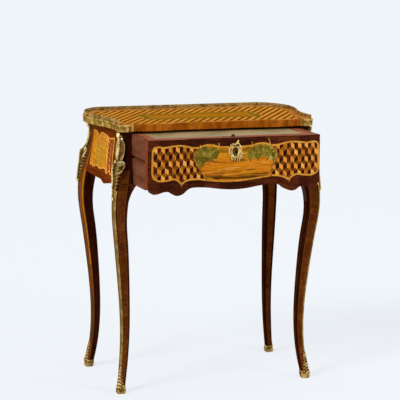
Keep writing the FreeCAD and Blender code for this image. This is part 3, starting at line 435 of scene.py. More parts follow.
class Veneer:
    """Veneer pieces drawn flat in millimetres and laid on one face of a CAD node."""

    def __init__(self, name, view, node, body, slot):
        self.name, self.view, self.node, self.body, self.slot = name, view, node, body, slot
        self.materials = []
        self.flat = bmesh.new()

    def index(self, material):
        if material not in self.materials:
            self.materials.append(material)
        return self.materials.index(material)

    def _finish(self, faces, material, level):
        for face in faces:
            face.material_index = self.index(material)
        for vertex in {corner for face in faces for corner in face.verts}:
            vertex.co.z = level

    def cells(self, outlines, material, level=0):
        """Convex outlines of one piece, which share the corners they have in common."""
        shared, faces = {}, []
        for outline in outlines:
            corners = []
            for u, v in outline:
                key = (round(u, 3), round(v, 3))
                if key not in shared:
                    shared[key] = self.flat.verts.new((u, v, 0))
                corners.append(shared[key])
            if len(set(corners)) == len(corners):
                faces.append(self.flat.faces.new(corners))
        self._finish(faces, material, level)

    def fill(self, loops, material, level=0):
        """A piece of any outline; further loops are holes."""
        edges = []
        for loop in loops:
            corners = [self.flat.verts.new((u, v, 0)) for u, v in loop]
            for first, second in zip(corners, corners[1:] + corners[:1]):
                edges.append(self.flat.edges.new((first, second)))
        filled = bmesh.ops.triangle_fill(self.flat, edges=edges, use_beauty=True, use_dissolve=False)
        faces = [item for item in filled["geom"] if isinstance(item, bmesh.types.BMFace)]
        self._finish(faces, material, level)

    def arrange(self, window, pieces):
        """Pieces edge to edge inside a window; where they overlap the later one shows."""
        spots, faces = [], []
        for outline in [window] + [outline for outline, material in pieces]:
            corners = range(len(spots), len(spots) + len(outline))
            faces.append(list(corners if turning(outline) > 0 else reversed(corners)))
            spots += [Vector(point) for point in outline]
        corners, _, cells, _, _, sources = delaunay_2d_cdt(spots, [], faces, 1, SAME_SPOT)
        kept = {}
        for cell, source in zip(cells, sources):
            if 0 in source and max(source) > 0:
                kept.setdefault(max(source), []).append([corners[item] for item in cell])
        for number, outlines in kept.items():
            material = pieces[number - 1][1]
            if material:
                self.cells(outlines, material)

    def ribbon(self, line, width, material, level=0, closed=False):
        """A line of stringing of the given width, which may taper along it."""
        sides = []
        for index, (u, v) in enumerate(line):
            before, after = around(line, index, closed)
            run = Vector((after[0] - before[0], after[1] - before[1]))
            half = along(width, index, len(line)) / 2
            across = Vector((-run.y, run.x)).normalized()
            side_u, side_v = across.x * half, across.y * half
            sides.append(((u + side_u, v + side_v), (u - side_u, v - side_v)))
        pairs = zip(sides, sides[1:] + sides[:1] if closed else sides[1:])
        self.cells([(a[0], a[1], b[1], b[0]) for a, b in pairs], material, level)

    def split(self, direction, pitch, start=0.0):
        """Cuts all pieces along lines square to a direction, one pitch apart."""
        reach = [vertex.co.xy.dot(direction) - start for vertex in self.flat.verts]
        for number in range(math.floor(min(reach) / pitch) + 1, math.ceil(max(reach) / pitch)):
            spot = Vector((direction[0], direction[1], 0)) * (number * pitch + start)
            geometry = list(self.flat.verts) + list(self.flat.edges) + list(self.flat.faces)
            bmesh.ops.bisect_plane(self.flat, geom=geometry, plane_co=spot, plane_no=(*direction, 0),
                                   dist=SAME_SPOT)

    def lay(self, lift=VENEER_LIFT, bends=""):
        """Follows the node's face, cut where it bends, each level a little higher than the last."""
        for axis in bends:
            self.split(DRAWN_AXES[axis], VENEER_STEP)
        self.flat.verts.ensure_lookup_table()
        self.flat.verts.index_update()
        points = []
        for vertex in self.flat.verts:
            u, v, level = vertex.co
            points.append(laid(self.view, self.node, u, v, lift + VENEER_LAYER * level))
        toward = VIEWS[self.view][0]
        faces, slots = [], []
        for face in self.flat.faces:
            corners = [vertex.index for vertex in face.verts]
            a, b, c = (points[corner] for corner in corners[:3])
            if (b - a).cross(c - a).dot(toward) > 0:
                corners.reverse()
            faces.append(corners)
            slots.append(face.material_index)
        self.flat.free()
        add_mesh(self.name, points, faces, slots, self.materials, self.body, self.slot)


DRAWER_FACE = ("front", "drawer_front", "drawer", "drawer_marquetry")
KEY_X, KEY_Z = 2.0, 677.5
CUBE_PITCH = 20.2
CUBE_EDGE = 12.5
CUBE_START = {-1: (-228.0, 600.0), 1: (96.0, 600.0)}
CUBE_RIM = [(1, 0.5), (0, 1), (-1, 0.5), (-1, -0.5), (0, -1), (1, -0.5)]


def cube_pieces(window):
    """Tumbling blocks: hexagons of three lozenges, light on the left and dark on the right."""
    high_u = max(u for u, v in window)
    high_v = max(v for u, v in window)
    first_u, first_v = CUBE_START[1 if high_u > 0 else -1]
    half, rise = CUBE_PITCH / 2, 1.5 * CUBE_EDGE
    pieces = []
    for row in range(-1, math.ceil((high_v - first_v) / rise) + 1):
        for column in range(-2, math.ceil((high_u - first_u) / CUBE_PITCH) + 2):
            u = first_u + column * CUBE_PITCH + (row % 2) * half
            v = first_v + row * 1.5 * CUBE_EDGE
            rim = [(u + half * side, v + CUBE_EDGE * tip) for side, tip in CUBE_RIM]
            for start, kind in ((0, "cube_mid"), (2, "cube_light"), (4, "cube_dark")):
                pieces.append((((u, v), rim[start], rim[start + 1], rim[(start + 2) % 6]), kind))
    return pieces


def blob(u, v, wide, high, lobes, turn=0.0, depth=0.12, steps=40):
    """A leafy mass: an oval with a lobed rim."""
    out = []
    for angle in angles(steps):
        finer = depth / 2 * math.sin(2 * lobes * angle + 1.7 * turn)
        reach = 1 + depth * math.sin(lobes * angle + turn) + finer
        out.append((u + wide * reach * math.cos(angle), v + high * reach * math.sin(angle)))
    return out


def post(u, low, high, foot, tip):
    """A thin upright, by its half widths at the foot and the tip."""
    return ((u - foot, low), (u + foot, low), (u + tip, high), (u - tip, high))


LEFT_TOP = [(-230, 690), (-224, 697.5), (-212, 699), (-198, 697), (-172, 700.5), (-152, 700.5), (-138, 698),
            (-117, 693), (-99, 693)]
LEFT_LOW = [(-79, 605.5), (-103, 609), (-126, 609), (-141, 605.5), (-151, 599.5), (-160, 607), (-173, 613),
            (-190, 610), (-213, 609), (-227, 616), (-231.5, 630)]
RIGHT_TOP = [(102, 693), (120, 693), (140, 698), (154, 700.5), (174, 700.5), (204, 697), (220, 699),
             (232, 697.5), (238, 690)]
RIGHT_LOW = [(239.5, 630), (235, 616), (220, 609), (196, 610), (175, 613), (161, 607), (152, 599.5),
             (143, 604.5), (133, 608), (120, 610.5), (105, 610.5)]
VIEW_LEFT = [(-99, 693), (-109, 683), (-114.5, 666), (-108, 650), (-97, 634), (-88, 618), (-79, 605.5)]
VIEW_RIGHT = [(105, 610.5), (104.5, 628), (108, 640), (117, 652), (121, 666), (114, 683), (102, 693)]
VIEW_TOP = [(102, 693), (84, 698.5), (64, 698), (50, 694), (20, 692.5), (-20, 692.5), (-48, 694), (-62, 698),
            (-82, 698.5), (-99, 693)]
VIEW_LOW = [(-79, 605.5), (-53, 602.5), (-25, 601), (0, 601), (25, 602), (53, 604.5), (79, 607),
            (105, 610.5)]
FLICKS = [((-97, 694), (-98, 700)), ((-47, 694), (-46, 704)), ((49, 694), (47, 704)),
          ((100, 694), (95, 713)), ((-151, 600), (-153, 592)), ((152, 600), (153, 592))]
STRING_WIDE = 4.4

SKY = ((-130, 580), (130, 580), (130, 710), (-130, 710))
HILLS = [(-125, 650), (-84, 660), (-40, 654), (4, 663), (48, 655), (92, 662), (128, 652)]
SHADE_TOP = [(-86, 622), (-60, 619), (-25, 613), (20, 611), (60, 614), (98, 621)]
SHADE_LOW = [(98, 616), (60, 608), (0, 606), (-60, 609), (-82, 615)]
# Strokes by their count, lowest and highest place, thickness and woods.
FAR_STROKES = [(26, 616, 652, (0.7, 1.7), ("hill", "golden_x", "amber", "hill", "sky")),
               (7, 652, 662, (0.5, 1.2), ("amber", "umber"))]
NEAR_STROKES = [(30, 606, 619, (0.8, 2.0), ("earth", "moss", "amber", "earth", "dusk")),
                (9, 619, 634, (0.6, 1.2), ("amber", "earth", "dusk"))]
HAZE = [(-34, 684, 13, 8), (36, 684, 15, 8), (10, 656, 22, 4)]
# Trees by their middle, half width and height, and count of leaves.
TREES = [(-89, 673, 24, 23, 24), (-99, 654, 13, 14, 10), (-62, 677, 17, 17, 14), (93, 679, 25, 18, 24),
         (66, 676, 20, 17, 16), (110, 662, 9, 12, 6), (44, 671, 12, 12, 8)]
LEAVES = (("moss", "moss", "moss", "olive", "olive"), ("olive", "olive", "moss", "sage"))
MARKERS = [(-66, 647), (-61, 645), (-20, 650), (84, 646), (38, 649)]


def strokes(rng, count, low, high, thick, kinds):
    """Short level strokes of veneer, as the shading of ground and water."""
    pieces = []
    for number in range(count):
        u, v = rng.uniform(-95, 95), rng.uniform(low, high)
        reach, tall = rng.uniform(8, 26), rng.uniform(*thick)
        line = [(u - reach, v), (u, v - tall), (u + reach, v + rng.uniform(-1, 1)), (u, v + tall)]
        pieces.append((curve(line, closed=True, steps=3), kinds[number % len(kinds)]))
    return pieces


def foliage(rng, u, v, wide, high, leaves):
    """The head of a tree: one mass with lighter and darker leaves strewn over it."""
    pieces = [(blob(u, v, wide, high, lobes=6, turn=u, depth=0.08), "moss" if u < 0 else "olive")]
    for leaf in range(leaves):
        angle, share = rng.uniform(0, FULL_TURN), math.sqrt(rng.uniform(0, 0.85))
        size = rng.uniform(2.5, 6.5)
        place = (u + wide * share * math.cos(angle), v + high * share * math.sin(angle))
        outline = blob(*place, size, size * 1.3, lobes=4, turn=leaf, depth=0.16, steps=12)
        pieces.append((outline, rng.choice(LEAVES[u > 0])))
    return pieces


def landscape_pieces():
    """A plain view of stock motifs: far hills, soft trees on both sides, fields and a dark foreground."""
    rng = random.Random(11)
    pieces = [(SKY, "sky"), (curve(HILLS) + [(128, 590), (-125, 590)], "field")]
    for row in FAR_STROKES:
        pieces += strokes(rng, *row)
    pieces.append((curve(SHADE_TOP) + curve(SHADE_LOW), "umber"))
    for row in NEAR_STROKES:
        pieces += strokes(rng, *row)
    for u, v, wide, high in HAZE:
        pieces.append((blob(u, v, wide, high, lobes=3, turn=u, depth=0.1), "dusk"))
    for u, v, _, high, _ in TREES:
        pieces.append((post(u, v - high - 8, v, foot=1.6, tip=1), "umber"))
    for tree in TREES:
        pieces += foliage(rng, *tree)
    for u, v in MARKERS:
        pieces.append((post(u, v, v + 6, foot=0.8, tip=0.6), "cube_light"))
    keyhole = blob(KEY_X, KEY_Z, wide=8, high=9, lobes=2)
    pieces.append((keyhole, None))
    return pieces


def drawer_marquetry():
    """Cube parquetry and a landscape behind a dark ground with shaped windows and light stringing."""
    left = curve(LEFT_TOP) + curve(VIEW_LEFT)[1:] + curve(LEFT_LOW)[1:]
    right = curve(RIGHT_TOP) + curve(RIGHT_LOW) + curve(VIEW_RIGHT)[1:-1]
    middle = curve(VIEW_TOP) + curve(VIEW_LEFT)[1:] + curve(VIEW_LOW)[1:] + curve(VIEW_RIGHT)[1:-1]
    left, right, middle = (anticlockwise(loop) for loop in (left, right, middle))
    field = Veneer("drawer_cubes", *DRAWER_FACE)
    for window in (left, right):
        field.arrange(window, cube_pieces(window))
    field.lay(bends="u")
    view = Veneer("drawer_landscape", *DRAWER_FACE)
    view.arrange(middle, landscape_pieces())
    view.lay(bends="u")
    lines = Veneer("drawer_stringing", *DRAWER_FACE)
    for loop in (left, right, middle):
        lines.ribbon(loop, STRING_WIDE, "boxwood", closed=True)
    for foot, tip in FLICKS:
        flick = curve([foot, ((foot[0] + tip[0]) / 2 + 1.5, (foot[1] + tip[1]) / 2), tip])
        lines.ribbon(flick, taper(3.0, 0.8), "boxwood", 1)
    lines.lay(lift=0.25, bends="u")


END_BACK, END_FRONT = DRAWER_Y - 135, DRAWER_Y - 159
END_LOW, END_HIGH = 587.5, 716
EDGE_LEFT, EDGE_STEP, EDGE_STEPS = -240.0, 8.0, 60
EDGE_BACK, EDGE_LOCK_BACK = DRAWER_Y - 134.6, DRAWER_Y - 148
LOCK_REACH = 36


def drawer_edges():
    """Reddish veneer on the ends of the drawer front and a paler edge along its top, clear of the lock."""
    corners = ((END_BACK, END_LOW), (END_FRONT, END_LOW), (END_FRONT, END_HIGH), (END_BACK, END_HIGH))
    for side in SIDES:
        ends = Veneer("drawer_end_" + side, side, *DRAWER_FACE[1:])
        ends.cells([corners], "russet")
        ends.lay()
    top = Veneer("drawer_top_edge", "top", *DRAWER_FACE[1:])
    strips = {}
    for number in range(EDGE_STEPS):
        u = EDGE_LEFT + number * EDGE_STEP
        end = u + EDGE_STEP
        near_lock = abs(u + EDGE_STEP / 2) < LOCK_REACH
        fronts = [laid("front", "drawer_front", spot, 714.0, 0.0).y + 1.0 for spot in (u, end)]
        back = EDGE_LOCK_BACK if near_lock else EDGE_BACK
        quad = ((u, back), (u, fronts[0]), (end, fronts[1]), (end, back))
        strips.setdefault((near_lock, u > 0), []).append(quad)
    for outlines in strips.values():
        top.cells(outlines, "rose")
    top.lay()


def top_outline():
    """The edge of the top's upper face, anticlockwise, in millimetres."""
    mesh = NODES["tabletop"].data
    uses = {}
    for face in mesh.polygons:
        if face.normal.z > 0.9 and face.center.z > (TOP_Z - 0.5) * MM:
            for key in face.edge_keys:
                uses[key] = uses.get(key, 0) + 1
    follow = {}
    for (first, second), count in uses.items():
        if count == 1:
            follow.setdefault(first, []).append(second)
            follow.setdefault(second, []).append(first)
    start = min(follow)
    loop, last, here = [start], None, start
    while True:
        ahead = [item for item in follow[here] if item != last]
        last, here = here, ahead[0]
        if here == start:
            break
        loop.append(here)
    return anticlockwise([(mesh.vertices[item].co.x / MM, mesh.vertices[item].co.y / MM) for item in loop])


TOP_FACE = ("top", "tabletop", "carcase", "top_parquetry")
STRIPE_PITCH = 19.0
STRIPE_DARK = 0.42
BORDER_PITCH, BORDER_RUN = 5.0, 8
BORDER_GAP, BORDER_CROSS, BORDER_WIDE, BORDER_SHIFT = 0.8, 15.0, 24.0, 7.0
PANEL_HALF = [(0, -78), (70, -74), (120, -82), (158, -72), (174, -45), (168, -14), (174, 20), (152, 48),
              (90, 44), (0, 48)]


def top_border(edge, field):
    """Short lengths of border veneer round the edge, and a plain band up to the field."""
    border = Veneer("top_crossband", *TOP_FACE)
    outer, inner = grown(edge, -BORDER_GAP), grown(edge, -BORDER_CROSS)
    count = len(edge)
    for start in range(0, count, BORDER_RUN):
        stop = min(start + BORDER_RUN, count)
        spots = [*range(start, stop), stop % count]
        quads = [(outer[a], outer[b], inner[b], inner[a]) for a, b in zip(spots, spots[1:])]
        border.cells(quads, "top_border")
    border.fill([inset(edge, BORDER_CROSS), field], "top_border")
    border.lay()


def top_stripes(field, panel):
    """Slanting stripes, light and dark in turn, between the border and the panel."""
    ring = Veneer("top_stripes", *TOP_FACE)
    ring.fill([field, panel], "stripe_light")
    across = Vector((math.sin(STRIPE_TURN), -math.cos(STRIPE_TURN)))
    ring.split(across, STRIPE_PITCH)
    ring.split(across, STRIPE_PITCH, STRIPE_PITCH * STRIPE_DARK)
    dark = ring.index("stripe_dark")
    bmesh.ops.split_edges(ring.flat, edges=list(ring.flat.edges))
    for face in ring.flat.faces:
        share = face.calc_center_median().xy.dot(across) / STRIPE_PITCH % 1.0
        face.material_index = dark if share < STRIPE_DARK else 0
    bmesh.ops.remove_doubles(ring.flat, verts=list(ring.flat.verts), dist=SAME_SPOT)
    ring.lay(lift=0.2)


def top_parquetry():
    """A plain border, a ring of slanting stripes and a golden middle with a green line."""
    edge = even(top_outline(), BORDER_PITCH)
    field = [(u, v - BORDER_SHIFT) for u, v in inset(edge, BORDER_WIDE)]
    mirrored = [(-u, v) for u, v in reversed(PANEL_HALF[1:-1])]
    panel = [(u, v + TABLE_Y) for u, v in curve(PANEL_HALF + mirrored, closed=True)]
    top_border(edge, field)
    top_stripes(field, panel)
    middle = Veneer("top_panel", *TOP_FACE)
    middle.fill([panel], "top_gold")
    for line, width, material in ((panel, 3.4, "top_line"), (grown(panel, -11.0), 14.0, "top_olive"),
                                  (field, 2.2, "top_line")):
        middle.ribbon(line, width, material, 1, closed=True)
    middle.lay(lift=0.28)


def leg_rows(row, side, low, high, count):
    """The sides of a leg at even heights: (z, low x, high x, low y, high y) in millimetres."""
    mesh = NODES["leg_%s_%s" % (row, side)].data
    rows = []
    for step in range(count + 1):
        level = low + (high - low) * step / count
        cuts = []
        for edge in mesh.edges:
            a, b = (mesh.vertices[item].co / MM for item in edge.vertices)
            if (a.z - level) * (b.z - level) < 0:
                cuts.append(a.lerp(b, (level - a.z) / (b.z - a.z)))
        spread = [way(cut[axis] for cut in cuts) for axis in (0, 1) for way in (min, max)]
        rows.append((level, *spread))
    return rows


class Relief:
    """Cast ornament gathered from ribs, tubes and swept strips, in millimetres."""

    def __init__(self):
        self.points, self.faces = [], []

    def grid(self, rows, closed=False, away=None):
        """A skin over rows of points of equal count, turned to face away from what it lies on."""
        first, wide = len(self.points), len(rows[0])
        for row in rows:
            self.points += row
        faces = []
        facing = Vector()
        for level in range(len(rows) - 1):
            for column in range(wide if closed else wide - 1):
                a = first + level * wide + column
                b = first + level * wide + (column + 1) % wide
                faces.append([a, b, b + wide, a + wide])
                facing += (self.points[b] - self.points[a]).cross(self.points[a + wide] - self.points[a])
        if away is not None and facing.dot(away) < 0:
            faces = [face[::-1] for face in faces]
        self.faces += faces

    def tube(self, path, radius, sides=8, closed=False):
        """A round rod along a path; its radius may change along it."""
        rows, across = [], None
        for index, spot in enumerate(path):
            before, after = around(path, index, closed)
            run = (after - before).normalized()
            if across is None:
                across = run.orthogonal().normalized()
            across = (across - run * across.dot(run)).normalized()
            other = run.cross(across)
            reach = along(radius, index, len(path))
            rows.append([spot + (across * math.cos(angle) + other * math.sin(angle)) * reach
                         for angle in angles(sides)])
        if closed:
            rows.append(rows[0])
        self.grid(rows, closed=True)

    def bead(self, spot, radius, rings=5, sides=8):
        """A small round knob."""
        across = UP.orthogonal().normalized()
        other = across.cross(UP)
        rows = []
        for ring in range(rings + 1):
            lift = math.pi * ring / rings
            reach = max(math.sin(lift), 0.02) * radius
            pole = UP * math.cos(lift) * radius
            rows.append([spot + (across * math.cos(angle) + other * math.sin(angle)) * reach + pole
                         for angle in angles(sides)])
        self.grid(rows, closed=True)

    def build(self, name, material, body, node=None):
        """One piece of all that was gathered, which may take the place of a CAD node."""
        slots = [0] * len(self.faces)
        piece = add_mesh(name, self.points, self.faces, slots, [material], body, "gilt_bronze", smooth=True)
        if node:
            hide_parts(node)


def volute(place, turns, first, last, steps):
    """A scroll that winds in from the first radius to the last; place sets its points on a surface."""
    path = []
    for step in range(steps + 1):
        share = step / steps
        angle = FULL_TURN * turns * share
        reach = first + (last - first) * share
        path.append(place(reach * math.cos(angle), reach * math.sin(angle), share))
    return path


def table(stops, value):
    """A value read from a list of (place, value), straight between its entries."""
    for (start, low), (end, high) in zip(stops, stops[1:]):
        if value <= end:
            return low + (high - low) * (value - start) / (end - start)
    return stops[-1][1]


def swell(value, middle, wide):
    """A smooth bump of height one."""
    return math.exp(-((value - middle) / wide) ** 2)


def fade(value, low, high):
    """From zero to one between two values, smoothly."""
    share = min(max((value - low) / (high - low), 0.0), 1.0)
    return share * share * (3 - 2 * share)


class Arris:
    """The outer corner of one leg, as a place to draw ornament that folds round it."""

    FOLD = 5.0

    def __init__(self, row, side, low, high, count=60):
        self.hand, self.depth = SIDES[side], ROWS[row]
        self.away = Vector((self.hand, self.depth, 0))
        self.levels = []
        for z, low_x, high_x, low_y, high_y in leg_rows(row, side, low, high, count):
            self.levels.append((z, high_x if self.hand > 0 else low_x, high_y if self.depth > 0 else low_y))

    def at(self, across, z, lift):
        """A point at a distance from the corner: along the side face below zero, the front face above."""
        first, last = self.levels[0][0], self.levels[-1][0]
        place = (min(max(z, first), last) - first) / (last - first) * (len(self.levels) - 1)
        index = min(int(place), len(self.levels) - 2)
        share = place - index
        lower, upper = self.levels[index], self.levels[index + 1]
        x, y = (lower[item] + (upper[item] - lower[item]) * share for item in (1, 2))
        front = fade(across, -self.FOLD, self.FOLD)
        away = Vector((self.hand * (1 - front), self.depth * front, 0)).normalized()
        inward = Vector((-self.hand * max(across, 0.0), self.depth * min(across, 0.0), 0))
        return Vector((x, y, z)) + inward + away * lift

    def leaf(self, relief, top, long, half, lift, steps, columns, shift=0.0):
        """A skin that hangs from a level; half(down) is its half width and lift(down, share) its form."""
        rows = []
        for step in range(steps + 1):
            down = long * step / steps
            wide = half(down)
            shares = [2 * column / columns - 1 for column in range(columns + 1)]
            rows.append([self.at(share * wide + shift, top - down, lift(down, share)) for share in shares])
        relief.grid(rows, away=self.away)


CHUTE_TOP, CHUTE_LONG, CHUTE_SHIFT = 718.5, 178.0, -8.0
CHUTE_TOOTH = 9.5
# Half width and height over the corner, by the distance from the chute's top.
CHUTE_HALF = [(0, 1.0), (3, 7.0), (8, 10.0), (13, 8.0), (18, 12.0), (30, 15.5), (48, 16.0), (64, 14.0),
              (74, 12.0), (80, 15.0), (87, 18.0), (100, 17.0), (115, 14.0), (125, 12.0), (138, 10.0),
              (150, 8.5), (160, 7.5), (168, 7.0), (174, 6.5), (178, 2.0)]
CHUTE_RISE = [(0, 3.0), (6, 8.5), (12, 6.5), (18, 7.5), (40, 8.2), (60, 8.0), (74, 8.5), (84, 14.0),
              (96, 14.0), (108, 12.0), (120, 10.5), (135, 9.0), (150, 8.0), (163, 7.0), (172, 7.5),
              (176, 6.0), (178, 1.0)]
# Points by their distance across from the middle, down from the top, and height.
CHUTE_LEAF_TIP = [(9, 106, 8.0), (14, 98, 7.5), (18, 90, 7.0), (20, 83, 6.5), (18.5, 78, 6.0)]
CHUTE_PETAL = [(1, 17, 7), (4, 9, 9), (6, 2, 8), (5, -2, 7)]
# Beads by their place and radius, and the cartouche's rims by share of its half width, height and swelling.
CHUTE_BEADS = [(-1.0, 7.0, 8.0, 6.0), (-6.0, 2.0, 8.0, 3.4), (4.0, 2.0, 8.0, 3.4), (9.0, 14.0, 8.0, 3.6),
               (0.0, 174.0, 5.5, 4.4)]
CHUTE_RIMS = {-1: [(0.8, 7.4, 2.7), (0.36, 5.6, 2.6)], 1: [(0.8, 7.4, 0.4)]}
CHUTE_RIM_RUN = range(16, 76, 4)
CHUTE_RIDGE = range(84, 174)
SCROLL_ACROSS, SCROLL_DOWN = 11.0, 80


def chute_form(down, share):
    """The chute's relief: a hollow cartouche above, an acanthus leaf below."""
    side = abs(share)
    rim = 0.34 + 0.66 * swell(side, 0.74, 0.2) + 0.3 * swell(side, 0.0, 0.12)
    lobes = 1.0 - 0.5 * side ** 1.6 + 0.34 * swell(side, 0.0, 0.1)
    lobes += 0.07 * math.cos(FULL_TURN * (down / CHUTE_TOOTH + 1.5 * side)) * fade(side, 0.08, 0.3)
    petals = 1.0 - 0.4 * side + 0.2 * math.cos(FULL_TURN * 1.5 * share)
    head = petals + (rim - petals) * fade(down, 12, 18)
    return head + (lobes - head) * fade(down, 70, 82)


def chute_half(down):
    serrate = 1 + 0.17 * math.cos(FULL_TURN * down / CHUTE_TOOTH) * fade(down, 84, 92)
    return table(CHUTE_HALF, down) * serrate


def chute_lift(down, share):
    edge = 1 - fade(abs(share), 0.86, 1.0)
    return table(CHUTE_RISE, down) * chute_form(down, share) * edge - 0.4


def ridge_radius(share):
    teeth = math.cos(FULL_TURN * len(CHUTE_RIDGE) * share / CHUTE_TOOTH)
    return (2.8 - 1.2 * share) * (0.8 + 0.2 * teeth)


def chute(body, rims, row, side):
    """A corner mount: a hollow cartouche over a long leaf, with worn petals, scrolls, rims and teeth."""
    arris = Arris(row, side, CHUTE_TOP - CHUTE_LONG - 4, CHUTE_TOP + 4)
    arris.leaf(body, CHUTE_TOP, CHUTE_LONG, chute_half, chute_lift, steps=110, columns=24, shift=CHUTE_SHIFT)

    def spot(across, down, lift):
        return arris.at(across + CHUTE_SHIFT, CHUTE_TOP - down, lift)

    for hand in (-1, 1):
        def scroll(across, rise, share):
            return spot(hand * (SCROLL_ACROSS + across), SCROLL_DOWN - rise, 8.5 + 1.6 * share)

        rods = [(volute(scroll, turns=1.7, first=6.2, last=1.6, steps=32), taper(1.7, 1.0)),
                ([spot(hand * u, down, lift) for u, down, lift in CHUTE_LEAF_TIP], taper(2.6, 0.6))]
        for place, lift, thick in CHUTE_RIMS[hand]:
            rim = [spot(hand * table(CHUTE_HALF, down) * place, down, lift) for down in CHUTE_RIM_RUN]
            rods.append((rim, bulge(0.7, 0.7 + thick)))
        rods.append(([spot(hand * u, down, lift) for u, down, lift in CHUTE_PETAL], taper(2.9, 1.0)))
        for path, radius in rods:
            rims.tube(path, radius, sides=7)
    for across, down, lift, radius in CHUTE_BEADS:
        rims.bead(spot(across, down, lift), radius)
    ridge = [spot(0.0, down, table(CHUTE_RISE, down) * chute_form(down, 0.0) - 1.2) for down in CHUTE_RIDGE]
    rims.tube(ridge, ridge_radius, sides=7)
    for number in range(7):
        rims.bead(spot(0.0, 20 + number * 7.5, 5.6), 2.0 - 0.12 * number)


def chutes():
    for row in ROWS:
        body, rims = Relief(), Relief()
        for side in SIDES:
            chute(body, rims, row, side)
        body.build("chute_casts_" + row, "gilt_deep", "carcase", "chutes_" + row)
        rims.build("chute_rims_" + row, "gilt_bright", "carcase")


SABOT_TOP, SABOT_LONG, SABOT_VEIN = 80.0, 66.0, 8.5
SABOT_HALF = [(0, 0.6), (10, 3.4), (24, 5.4), (38, 7.0), (48, 8.6), (56, 10.4), (64, 11.5), (79, 11.5)]
SABOT_RISE = [(0, 1.0), (14, 3.0), (34, 4.0), (52, 5.0), (60, 5.6), (66, 6.8), (72, 7.0), (76, 5.6),
              (79, 4.0)]
# The collar's swelling over the foot, by the share of its height.
COLLAR_FORM = [(0.0, 2.0), (0.06, 3.0), (0.2, 3.9), (0.45, 4.2), (0.66, 3.0), (0.8, 2.6), (0.92, 2.6),
               (0.98, 1.4), (1.0, -0.4)]
COLLAR_BACK, COLLAR_TOE = 21.0, 17.0
COLLAR_SIDES = 40
FOOT_LOW, FOOT_HIGH, FOOT_ROWS = 3.2, 60.0, 30
FOOT_SQUARE = 0.4


def sabot_collar(relief, row, side):
    """The shoe's collar round the foot: a full toe, low behind and rising to the outer corner."""
    levels = leg_rows(row, side, FOOT_LOW, FOOT_HIGH, FOOT_ROWS)
    toe = math.atan2(ROWS[row], SIDES[side])
    rows = []
    for share, swelling in COLLAR_FORM:
        ring = []
        for angle in angles(COLLAR_SIDES):
            facing = max(math.cos(angle - toe), 0.0)
            z = share * (COLLAR_BACK + COLLAR_TOE * facing ** 4)
            level = int((z - FOOT_LOW) / (FOOT_HIGH - FOOT_LOW) * FOOT_ROWS)
            span = levels[min(max(level, 0), FOOT_ROWS)]
            full = 1 + 0.10 * facing ** 6 * math.sin(math.pi * min(share / 0.8, 1.0))
            spot = []
            for low, high, way in ((span[1], span[2], math.cos(angle)), (span[3], span[4], math.sin(angle))):
                half = (high - low) / 2 + swelling
                spot.append((high + low) / 2 + math.copysign(abs(way) ** FOOT_SQUARE, way) * half * full)
            ring.append(Vector((*spot, z)))
        rows.append(ring)
    first = len(relief.points)
    relief.grid(rows, closed=True)
    relief.faces.append([first + step for step in reversed(range(COLLAR_SIDES))])


def sabot_half(down):
    return table(SABOT_HALF, down) * (1 + 0.2 * math.cos(FULL_TURN * down / SABOT_VEIN))


def sabot_lift(down, share):
    """Chevron veins with a raised middle, thin at the edge."""
    side = abs(share)
    vein = 1 + 0.3 * math.cos(FULL_TURN * (down / SABOT_VEIN - 1.2 * side))
    form = (1 - 0.3 * side) * vein + 0.3 * swell(share, 0.0, 0.12)
    return table(SABOT_RISE, down) * form * (1 - fade(side, 0.88, 1.0)) + 0.2


def sabots():
    """Shoes: a collar round each foot and a leaf with a serrated tip that runs up the corner."""
    for row in ROWS:
        relief = Relief()
        for side in SIDES:
            sabot_collar(relief, row, side)
            arris = Arris(row, side, FOOT_LOW, SABOT_TOP + 2)
            arris.leaf(relief, SABOT_TOP, SABOT_LONG, sabot_half, sabot_lift, steps=60, columns=22)
        relief.build("sabot_casts_" + row, "shoe", "carcase", "sabots_" + row)


GALLERY_HIGH, GALLERY_PITCH = 10.5, 9.2
GALLERY_FRONT, GALLERY_SIDE = TABLE_Y - 165.0, 250.0
GALLERY_RAILS = [(0.9, 1.0), (GALLERY_HIGH - 0.9, 1.05)]
GALLERY_RING = (3.5, 3.3)


def gallery_line():
    """The points of the gallery's outer and inner face, left, back and right, from one end to the other."""
    outline = even(top_outline(), 2.3)
    pairs = list(zip(grown(outline, -0.7), grown(outline, -1.2)))
    kept = []
    for (u, v), _ in pairs:
        kept.append(v > GALLERY_FRONT and (abs(u) > GALLERY_SIDE or v > TABLE_Y))
    start = next(item for item, inside in enumerate(kept) if inside and not kept[item - 1])
    order = [*range(start, len(pairs)), *range(start)]
    return [pairs[item] for item in order if kept[item]]


